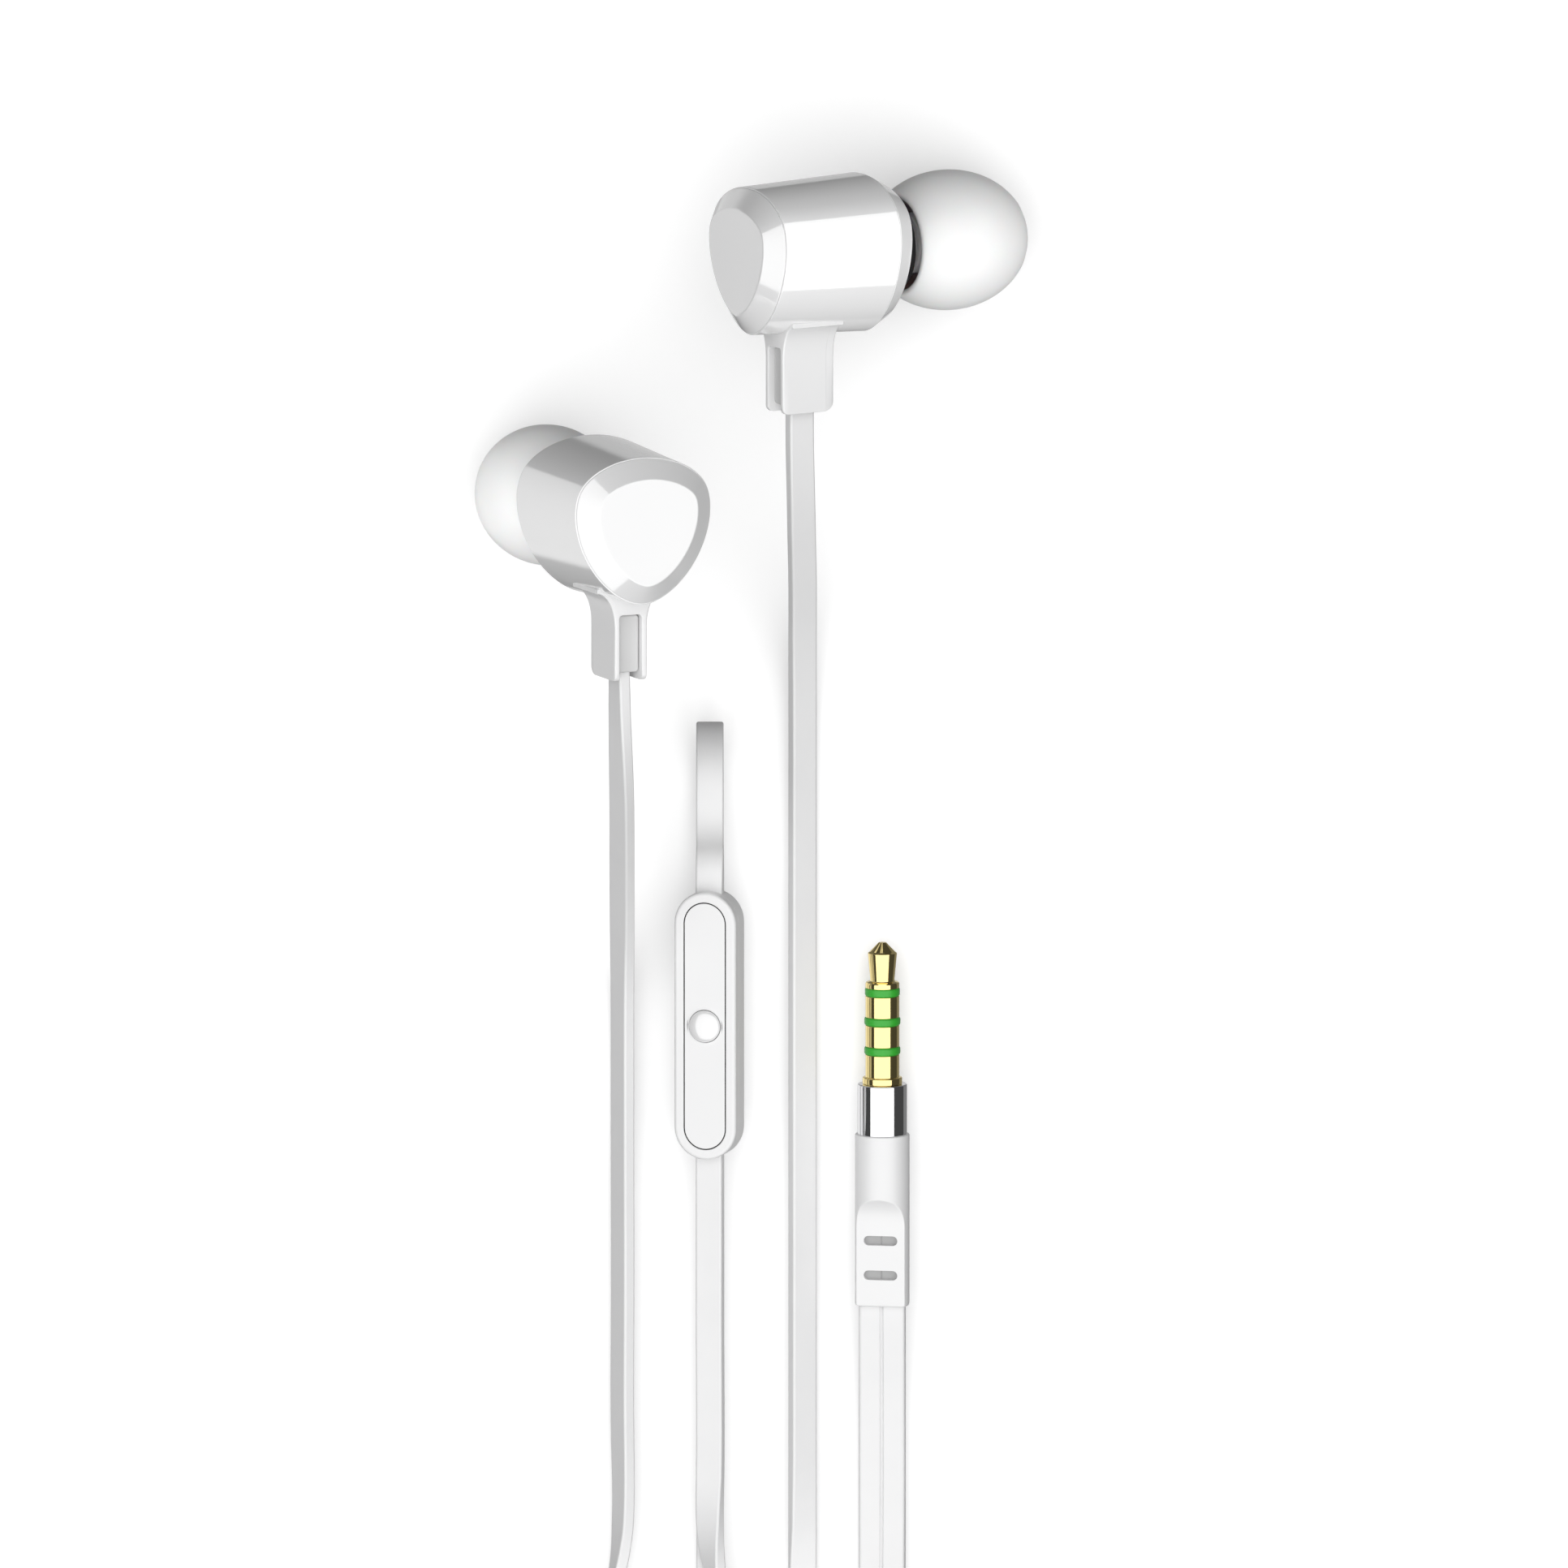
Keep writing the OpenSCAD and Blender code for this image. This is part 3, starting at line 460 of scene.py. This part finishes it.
main_route += [
    [24.3, -141.2, 2.85, 1510, 90], [20.6, -139.9, 2.8, 1505, 88],
    [18.1, -138.6, 2.7, 1495, 84], [16, -136.6, 2.6, 1480, 76], [14.4, -134.2, 2.3, 1465, 64],
    [13.6, -131.5, 1.9, 1450, 48], [13.4, -128, 1.4, 1440, 30], [13.4, -122, 0.95, 1440, 10],
    [13.4, -112, 0.85, 1440, 5], [13.4, -107, 0.95, 1440, 5], [13.4, -102, 1.6, 1440, 6],
    [13.4, -98, 2.4, 1440, 7], [13.4, -94, 2.8, 1440, 8.8], [13.4, -85.4, 2.8, 1440, 8.8],
]

# ---------------------------------------------------------------- earbuds


def ear_tip(side, place):
    wall = [(TIP_R * math.sqrt(1 - (z / TIP_HALF) ** 2), z) for z in np.linspace(-5.5, 6.95, 34)]
    skirt = [(r - TIP_WALL, z) for r, z in wall if z < 3.4][::-1]
    lip = [(4.02, 7.16), (3.72, 7.28), (3.58, 7.27), (3.5, 7.2), (3.44, 7.24), (3.41, 7.36),
           (3.38, 7.54), (3.3, 7.65), (3.16, 7.7), (2.9, 7.7), (2.55, 7.68), (2.36, 7.58),
           (2.27, 7.4), (TIP_BORE_R, 7.15)]
    core = [(TIP_BORE_R, 3), (TIP_BORE_R, -4.85), (2.33, -4.97), (2.5, -5), (2.85, -5),
            (3.02, -4.97), (TIP_CORE_R, -4.85), (TIP_CORE_R, 3.2), (3.25, 3.75), (3.7, 4.05)]
    foot = [(4.72, -5.75), (4.85, -5.88), (5.05, -5.92), (5.25, -5.88), (5.38, -5.78)]
    profile = wall + lip + core + skirt + foot
    piece(side + "_soft_tip", [swept(circle, profile)], silicone, place,
          side + "_ear_tip", [side + "_ear_tip"], 60)


def stem_outline(inset, low, slot):
    """Section of the stem; with slot, the channel is left open at its lower end."""
    edge, end = STEM_HALF - inset, low + inset
    right = [(edge - 0.12, end), (edge - 0.03, end + 0.03), (edge, end + 0.12), (edge, -11)]
    for a in np.radians(np.linspace(180, 90, 13)):
        right.append((3.8 + 2 * math.cos(a) + inset * math.cos(a),
                      -10.8 + 3.6 * math.sin(a) + inset * math.sin(a)))
    right.append((3.8, -6.75))
    top = [tuple(p) for p in pick(7.3)[93:124][::-1]]
    outline = right + top + [(-x, y) for x, y in right[::-1]]
    if slot:
        s, t, c = CHANNEL_HALF + inset, CHANNEL_TOP + inset, CHANNEL_CORNER
        inner = [(-s, end), (-s, t - c)]
        inner += [(c * math.cos(a) - s + c, c * math.sin(a) + t - c)
                  for a in np.radians(np.linspace(180, 90, 6))[1:]]
        outline += inner + [(-x, y) for x, y in inner[::-1]]
    return np.array(outline)


def corner(distance, radius):
    """How far a rounded edge draws in at a distance from the end."""
    if distance >= radius:
        return 0
    return radius - math.sqrt(radius ** 2 - (radius - distance) ** 2)


def stem_ring(z, slot):
    front, back = z - STEM_FRONT_Z, STEM_BACK_Z - z
    low = STEM_END + max(corner(front, 0.7), corner(back, 1.1))
    return at(stem_outline(max(corner(front, 0.16), corner(back, 0.16)), low, slot), z)


def housing(side, place):
    shell = rounded([(HOUSING_FRONT_R, SHOULDER_Z, 0.07), (7.05, FRONT_Z, 0.3),
                     (2.3, FRONT_Z, 0.05), (2.3, -9.1, 0), (6.4, -9.1, 0), (6.4, -11.2, 0),
                     (7.2, -11.2, 0), (7.2, SHOULDER_Z, 0)])
    piece(side + "_bevelled_front", [swept(pick, shell)], gloss_white, place,
          stands_for=[side + "_front_shell"])
    body = rounded([(HOUSING_FRONT_R, SHOULDER_Z, 0.09), (7.25, SHOULDER_Z, 0),
                    (6.7, REAR_EDGE_Z, 0), (HOUSING_REAR_R, REAR_EDGE_Z, 0.09)])
    piece(side + "_housing_barrel", [swept(pick, body)], gloss_white, place,
          stands_for=[side + "_barrel"])
    cap = rounded([(1, -24, 0), (5.85, -24, 0), (5.85, -22.4, 0), (6.65, -22.4, 0),
                   (6.65, REAR_EDGE_Z, 0), (HOUSING_REAR_R, REAR_EDGE_Z, 0.07),
                   (5.5, CAP_Z, 0.3), (3, CAP_Z, 0), (1, CAP_Z, 0)], closed=False)
    piece(side + "_bevelled_cap", [swept(pick, cap, False)], gloss_white, place,
          stands_for=[side + "_rear_cap"])
    # Black ring at the nozzle's base, seen in the gap behind the tip: partly a dark part, partly
    # painted shade of that gap.
    ring = rounded([(2.25, FRONT_Z, 0), (4.9, FRONT_Z, 0), (4.9, -7.5, 0.05), (4.65, -7.35, 0.05),
                    (4.65, -7.1, 0.05), (4.8, -6.9, 0.05), (4.7, -6.4, 0.2), (2.25, -6.4, 0)])
    piece(side + "_neck_seal", [swept(circle, ring)], dark_ring, place,
          stands_for=[side + "_neck_ring"])
    fore = [STEM_FRONT_Z, -20.49, -20.46, -20.42, -20.36, -20.3, -20.2, -20.08, -19.95, -19.8,
            -19.6, -18, -15.41]
    back = [-15.4, -15.3, -15.15, -15, -14.88, -14.78, -14.7, -14.63, -14.57, -14.53, -14.51,
            STEM_BACK_Z]
    saddle = [loft([stem_ring(z, True) for z in fore]), loft([stem_ring(z, False) for z in back])]
    piece(side + "_stem_saddle", saddle, stem_white, place,
          stands_for=[side + "_saddle"], crease=40)
    # Clamp block in the stem's channel, in a grey that paints the channel's shade.
    grip = rounded([(1.4, -19.8, 0), (0, -19.8, 0.2), (0, -15.45, 0), (1.4, -15.45, 0)],
                   closed=False)
    middle = np.array((0, -12.65))
    clamp = [at(block(2.4, 5.9, 0.4, max(v, 0)) + middle, z) for v, z in grip if v < 1.1]
    piece(side + "_clamp_block", [loft(clamp)], clamp_painted_shade, place,
          stands_for=[side + "_cable_clamp"])


for side, place in (("left", LEFT), ("right", RIGHT)):
    ear_tip(side, place)
    housing(side, place)

# ---------------------------------------------------------------- remote


def remote_outline(inset):
    return stadium(REMOTE_LENGTH, REMOTE_WIDTH, inset)


def ring_with_hole(low, high):
    """Inlay panel: a stadium with a round hole for the button."""
    edge = rounded([(0, low, 0), (0, high, 0.08), (0.35, high, 0)], closed=False)
    outer = [at(stadium(INLAY_LENGTH, INLAY_WIDTH, v), z) for v, z in edge]
    hole = rounded([(BUTTON_HOLE_R, low, 0), (BUTTON_HOLE_R, high, 0.08), (1.9, high, 0)],
                   closed=False)
    inner = [at(circle(r, 64), z) for r, z in hole]
    parts = []
    for rings in (outer, inner):
        verts, faces = loft(rings)
        parts.append((verts, faces[:-2]))
    for a, b in ((outer[-1], inner[-1]), (outer[0], inner[0])):
        both = np.concatenate([a, b])
        found = tessellate_polygon([[Vector(p) for p in a], [Vector(p) for p in b[::-1]]])
        order = list(range(len(a))) + list(range(len(both) - 1, len(a) - 1, -1))
        parts.append((both, [tuple(order[i] for i in tri) for tri in found]))
    return parts


back = rounded([(3, -1.25, 0), (0.8, -1.25, 0), (0.8, REMOTE_SPLIT, 0), (0, REMOTE_SPLIT, 0.05),
                (0, -REMOTE_HALF, 0.9), (2, -REMOTE_HALF, 0), (3, -REMOTE_HALF, 0)], closed=False)
piece("remote_back_case", [swept(remote_outline, back, False)], satin_white, REMOTE,
      stands_for=["remote_back_shell"])
rim = rounded([(0, REMOTE_SPLIT, 0.05), (0, REMOTE_HALF, 0.34), (1.04, REMOTE_HALF, 0.1),
               (1.04, INLAY_LOW, 0), (1.3, INLAY_LOW, 0), (1.3, REMOTE_SPLIT, 0)])
piece("remote_rim", [swept(remote_outline, rim)], satin_white, REMOTE,
      stands_for=["remote_front_frame"])
piece("remote_inlay", ring_with_hole(INLAY_LOW, INLAY_HIGH), satin_white, REMOTE,
      stands_for=["remote_panel"])
# Black ring filling the gap between rim and inlay: painted shade of the gap.
gap_shade_ring = rounded([(1.0, 1.25, 0), (1.0, 1.86, 0), (1.22, 1.86, 0), (1.22, 1.25, 0)])
piece("remote_seam", [swept(remote_outline, gap_shade_ring)], dark_ring, REMOTE)
dome = [(0.02, 0.7), (1.95, 0.7), (1.95, 1.1), (BUTTON_R, 1.1), (BUTTON_R, 1.5), (BUTTON_R, 1.8)]
dome += [(BUTTON_R * math.cos(a), REMOTE_HALF + 0.6 * math.sin(a))
         for a in np.radians(np.linspace(0, 89, 20))]
piece("remote_button_cap", [swept(circle, dome, False)], gloss_white, REMOTE,
      "remote_button", ["remote_button"])

# ---------------------------------------------------------------- splitter and tie


def splitter_outline(inset):
    return block(3.6, 13, 0.9, inset)


case = rounded([(1.5, 0, 0), (0, 0, 0.8), (0, 3.42, 0.04), (0.09, 3.46, 0), (0.09, 3.54, 0),
                (0, 3.58, 0.04), (0, 7, 0.8), (1.5, 7, 0)], closed=False)
splitter = piece("splitter_case", [swept(splitter_outline, case, False)], satin_white,
                 SPLITTER, stands_for=["splitter_shell"])

# Wire tie: a ribbed strap round both coils, and its two ends twisted together on top
loop = np.array(rounded([(-205.35, 0.2, 1.1), (-184.15, 0.2, 1.1), (-184.15, 5.5, 1.1),
                         (-205.35, 5.5, 1.1)], steps=8))
strap_section = [(-1.5, 0.07), (-1.35, 0.14), (-0.35, 0.14), (-0.18, 0.24), (0, 0.27),
                 (0.18, 0.24), (0.35, 0.14), (1.35, 0.14), (1.5, 0.07), (1.5, -0.07),
                 (1.35, -0.14), (-1.35, -0.14), (-1.5, -0.07)]
rings = []
for i, (y, z) in enumerate(loop):
    before, after = loop[i - 1], loop[(i + 1) % len(loop)]
    run = (after - before) / np.linalg.norm(after - before)
    out = np.array((run[1], -run[0]))
    rings.append(np.array([(COIL[0] + x, y + h * out[0], z + h * out[1])
                           for x, h in strap_section]))
strap = [loft(rings, True)]
TWIST_LENGTH, TWIST_PITCH, TWIST_R, TWIST_POINTS = 9, 3, 0.28, 12
a = np.arange(TWIST_POINTS) * 2 * math.pi / TWIST_POINTS
flat = np.stack([0.55 * np.cos(a), 0.2 * np.sin(a)], 1)
for phase in (0, math.pi):
    rings = []
    for s in np.linspace(0, TWIST_LENGTH, 61):
        turn = phase + s * 2 * math.pi / TWIST_PITCH
        y = -200.15 + TWIST_R * math.cos(turn)
        z = 6.22 + TWIST_R * math.sin(turn)
        c, d = math.cos(turn + math.pi / 2), math.sin(turn + math.pi / 2)
        rings.append(np.stack([np.full(TWIST_POINTS, 18.2 + s),
                               y + flat[:, 0] * c - flat[:, 1] * d,
                               z + flat[:, 0] * d + flat[:, 1] * c], 1))
    strap.append(loft(rings))
piece("cable_tie", strap, tie_coat, stands_for=["coil_tie"], crease=45)

# ---------------------------------------------------------------- plug


def plug_part(name, profile, finish, stands_for, wrap=True):
    return piece(name, [swept(circle, profile, wrap)], finish, PLUG, stands_for=stands_for)


def sleeve(low, high, r, edge=0.06):
    return rounded([(CORE_R, low, 0), (r, low, edge), (r, high, edge), (CORE_R, high, 0)])


# Radius, distance back from the plug's end, and rounding
nose = rounded([(0.02, 0, 0), (0.38, 0, 0.1), (1.3, -0.95, 0.12), (1.5, -1.1, 0.06),
                (1.5, -1.22, 0.05), (1.25, -3.9, 0.3), (1.3, -4, 0.1), (1.68, -4.12, 0.05),
                (CONTACT_R, -4.25, 0.04), (CONTACT_R, -4.7, 0.03), (0.7, -4.7, 0), (0.7, -13, 0),
                (0.02, -13, 0)], closed=False)
flange = rounded([(CORE_R, COLLAR_TOP, 0), (2.05, COLLAR_TOP, 0.1), (2.05, 23.8, 0.15),
                  (CONTACT_R, 23.85, 0.05), (CONTACT_R, 26.15, 0.06), (CORE_R, 26.15, 0)])
collar = rounded([(1.35, GRIP_TOP, 0), (COLLAR_R, GRIP_TOP, 0.05), (COLLAR_R, COLLAR_TOP, 0.14),
                  (1.35, COLLAR_TOP, 0)])
plug = [
    plug_part("plug_nose", [(r, PLUG_END + z) for r, z in nose], gold,
              ["plug_tip"], False),
    plug_part("plug_contact_front", sleeve(30.05, 32.25, CONTACT_R), gold,
              ["plug_ring_front"]),
    plug_part("plug_contact_rear", sleeve(27, 29.2, CONTACT_R), gold,
              ["plug_ring_rear"]),
    plug_part("plug_contact_sleeve", flange, gold, ["plug_sleeve"]),
    plug_part("plug_spacer_front", sleeve(32.25, 33.1, 1.8, 0.2), green,
              ["plug_insulator_front"]),
    plug_part("plug_spacer_middle", sleeve(29.2, 30.05, 1.86, 0.25), green,
              ["plug_insulator_middle"]),
    plug_part("plug_spacer_rear", sleeve(26.15, 27, 1.86, 0.25), green,
              ["plug_insulator_rear"]),
    plug_part("plug_chrome_collar", collar, chrome, ["plug_collar"]),
]


# The flats: half the grip's thickness between them, and the curve that ends them
SCOOP_HALF, SCOOP_START, SCOOP_END, SCOOP_R = 1.25, 8.2, 11.4, 4


def grip_ring(z):
    """Round grip with a flat scooped into its front and back."""
    outline = circle(GRIP_R - max(corner(z, 0.3), corner(GRIP_TOP - z, 0.15)), 240)
    if z < SCOOP_START:
        half = SCOOP_HALF
    elif z < SCOOP_END:
        half = SCOOP_HALF + SCOOP_R - math.sqrt(SCOOP_R ** 2 - (z - SCOOP_START) ** 2)
    else:
        half = 9
    half -= corner(z, 0.3) * 0.8
    outline[:, 1] = np.clip(outline[:, 1], -half, half)
    return at(outline, z)


heights = np.concatenate([[0, 0.02, 0.07, 0.15, 0.3], np.linspace(0.6, 7.8, 7),
                          np.linspace(8, 11.6, 40), np.linspace(12, 17.6, 4),
                          [17.75, 17.8, 17.85, 17.88, GRIP_TOP]])
boot = piece("plug_grip", [loft([grip_ring(z) for z in heights])], satin_white,
             PLUG, stands_for=["plug_boot"])
pill = stadium(3.5, 1, 0, 12)[:, ::-1]
carve(boot, [(*loft([at(pill, -4), at(pill, 4)]),
              PLUG @ Matrix.Translation((0, 0, z)) @ turned("X", 90)) for z in WINDOWS])
# A grey sheet behind the grip's windows: painted shade of the recess where the cable shows through.
shade_liner = np.array(rounded([
    (2.35, -0.74, 0.1), (2.35, 0.74, 0.1), (0.12, 0.74, 0.05), (0, 0.66, 0), (-0.12, 0.74, 0.05),
    (-2.35, 0.74, 0.1), (-2.35, -0.74, 0.1), (-0.12, -0.74, 0.05), (0, -0.66, 0),
    (0.12, -0.74, 0.05)]))
plug += [boot, piece("plug_window_liner", [loft([at(shade_liner, 2.2), at(shade_liner, 8)])], window_painted_shade,
                     PLUG)]

# ---------------------------------------------------------------- the cords themselves

flat_cord("left_cable", left_route, BRANCH_WIDTH, False, ["left_cable_upper", "left_cable_lower"])
flat_cord("right_cable_whole", right_route, BRANCH_WIDTH, False,
          ["right_cable", "right_coil", "right_cable_inner"])
flat_cord("main_cable_whole", main_route, MAIN_WIDTH, True,
          ["main_cable_inner", "main_coil", "main_cable"])

# ---------------------------------------------------------------- carried-over CAD nodes

carried = {
    "nozzle": gloss_white, "nozzle_mesh": steel_mesh, "driver_frame": driver_steel,
    "magnet": driver_steel, "diaphragm": film, "rear_damper": felt, "terminal_board": board,
}
finishes = {side + "_" + name: m for side in ("left", "right") for name, m in carried.items()}
finishes |= {"remote_switch": driver_steel, "remote_board": board,
             "remote_microphone": driver_steel, "splitter_core": satin_white,
             "plug_core": satin_white}
for name, m in finishes.items():
    nodes[name].data.materials.clear()
    nodes[name].data.materials.append(m)

# ---------------------------------------------------------------- floor, light and surroundings

REACH = 4
floor_mesh = bpy.data.meshes.new("floor")
floor_mesh.from_pydata([(-REACH, -REACH, 0), (REACH, -REACH, 0), (REACH, REACH, 0),
                        (-REACH, REACH, 0)], [], [(0, 1, 2, 3)])
floor = bpy.data.objects.new("floor", floor_mesh)
floor_mesh.materials.append(finish_of("floor", (0.9, 0.9, 0.9), (0.89, 0.89, 0.89), (0.6, 0.7),
                                      300, 0.02, Emission_Color=(1, 1, 1, 1)))
floor.location.z = -0.00005  # just below the lowest cable
floor.visible_glossy = False
floor.visible_diffuse = False
scene.collection.objects.link(floor)


# The floor glows a little more where the lamp no longer reaches it, so that it stays pale.
glow = floor_mesh.materials[0].node_tree
away = glow.nodes.new("ShaderNodeVectorMath")
away.operation = "LENGTH"
glow.links.new(glow.nodes["Texture Coordinate"].outputs["Object"], away.inputs[0])
fade = glow.nodes.new("ShaderNodeMapRange")
for socket, value in (("From Min", 0.5), ("From Max", 1.2), ("To Min", 0.22), ("To Max", 1)):
    fade.inputs[socket].default_value = value
glow.links.new(away.outputs["Value"], fade.inputs["Value"])
glow.links.new(fade.outputs["Result"], glow.nodes["Principled BSDF"].inputs["Emission Strength"])


def panel(name, centre, target, width, height, strength):
    """Soft rectangular lamp aimed at a target; strength is its brightness."""
    light = bpy.data.lights.new(name, "AREA")
    light.shape = "RECTANGLE"
    light.size, light.size_y = width, height
    light.energy = strength * width * height * math.pi
    obj = bpy.data.objects.new(name, light)
    obj.location = centre
    obj.rotation_euler = (Vector(target) - Vector(centre)).to_track_quat("-Z", "Y").to_euler()
    obj.visible_camera = False
    scene.collection.objects.link(obj)
    return obj


panel("overhead", (0, -0.24, 0.5), (0, -0.24, 0), 1.5, 1.6, 1.45)
# Reflector cards, each of which lights only the pieces that it names
for name, place, aim, width, height, strength, lit in (
        ("side_card", (1.5, 0, 0.55), (0, 0, 0.3), 3.8, 0.85, 1.6,
         ("right_housing_barrel", "right_bevelled_front", "right_soft_tip")),
        ("tip_fill", (-1.1, -0.1, 0.35), (0, 0, 0), 1.6, 0.8, 2.2, ("left_soft_tip",)),
        ("barrel_fill", (-1.1, -0.1, 0.35), (0, 0, 0), 1.6, 0.8, 0.9,
         ("left_housing_barrel",))):
    card = panel(name, place, aim, width, height, strength)
    group = bpy.data.collections.new(name)
    for one in lit:
        group.objects.link(bpy.data.objects[one])
    card.light_linking.receiver_collection = group

world = bpy.data.worlds.new("studio")
scene.world = world
world.use_nodes = True
sky = world.node_tree


def sums(operation, a, b):
    """Math node on two values or sockets."""
    node = sky.nodes.new("ShaderNodeMath")
    node.operation = operation
    for socket, value in zip(node.inputs, (a, b)):
        if isinstance(value, (int, float)):
            socket.default_value = value
        else:
            sky.links.new(value, socket)
    return node.outputs["Value"]


def ramp(value, stops):
    """Grey level along a list of (position, level) stops."""
    node = sky.nodes.new("ShaderNodeValToRGB")
    sky.links.new(value, node.inputs["Fac"])
    band = node.color_ramp
    while len(band.elements) < len(stops):
        band.elements.new(0.5)
    for element, (position, level) in zip(band.elements, stops):
        element.position = position
        element.color = (level, level, level, 1)
    return node.outputs["Color"]


# Brightness below the horizon by compass direction: bright towards -X, dark towards +Y.
# Only reflections and soft light see it; the camera sees the pale backdrop instead.
course = sky.nodes.new("ShaderNodeTexCoord")
split = sky.nodes.new("ShaderNodeSeparateXYZ")
sky.links.new(course.outputs["Generated"], split.inputs["Vector"])
bearing = sums("ARCTAN2", split.outputs["Y"], sums("MULTIPLY", split.outputs["X"], -1))
sector = ramp(sums("ADD", sums("DIVIDE", bearing, 2 * math.pi), 0.5),
              [(0, 0.2), (0.25, 0.35), (0.33, 0.25), (0.366, 0.22), (0.376, 0.9), (0.588, 0.9),
               (0.598, 0.16), (0.75, 0.18), (0.9, 0.2), (1, 0.2)])
height = sums("ADD", sums("MULTIPLY", split.outputs["Z"], 0.5), 0.5)
level = ramp(height, [(0, 1), (0.26, 1), (0.29, 0), (1, 0)])
depth = sky.nodes.new("ShaderNodeMix")
depth.data_type = "RGBA"
sky.links.new(level, depth.inputs["Factor"])
depth.inputs["A"].default_value = (0.06, 0.06, 0.06, 1)
below = sky.nodes.new("ShaderNodeMix")
below.data_type = "RGBA"
sky.links.new(ramp(height, [(0.026, 1), (0.036, 0)]), below.inputs["Factor"])
sky.links.new(sector, below.inputs["A"])
below.inputs["B"].default_value = (0.6, 0.6, 0.6, 1)
sky.links.new(below.outputs["Result"], depth.inputs["B"])
ground = sky.nodes["Background"]
sky.links.new(depth.outputs["Result"], ground.inputs["Color"])
pale = sky.nodes.new("ShaderNodeBackground")
pale.inputs["Color"].default_value = (0.9, 0.9, 0.9, 1)
path = sky.nodes.new("ShaderNodeLightPath")
choose = sky.nodes.new("ShaderNodeMixShader")
sky.links.new(path.outputs["Is Camera Ray"], choose.inputs["Fac"])
sky.links.new(ground.outputs["Background"], choose.inputs[1])
sky.links.new(pale.outputs["Background"], choose.inputs[2])
sky.links.new(choose.outputs["Shader"], sky.nodes["World Output"].inputs["Surface"])
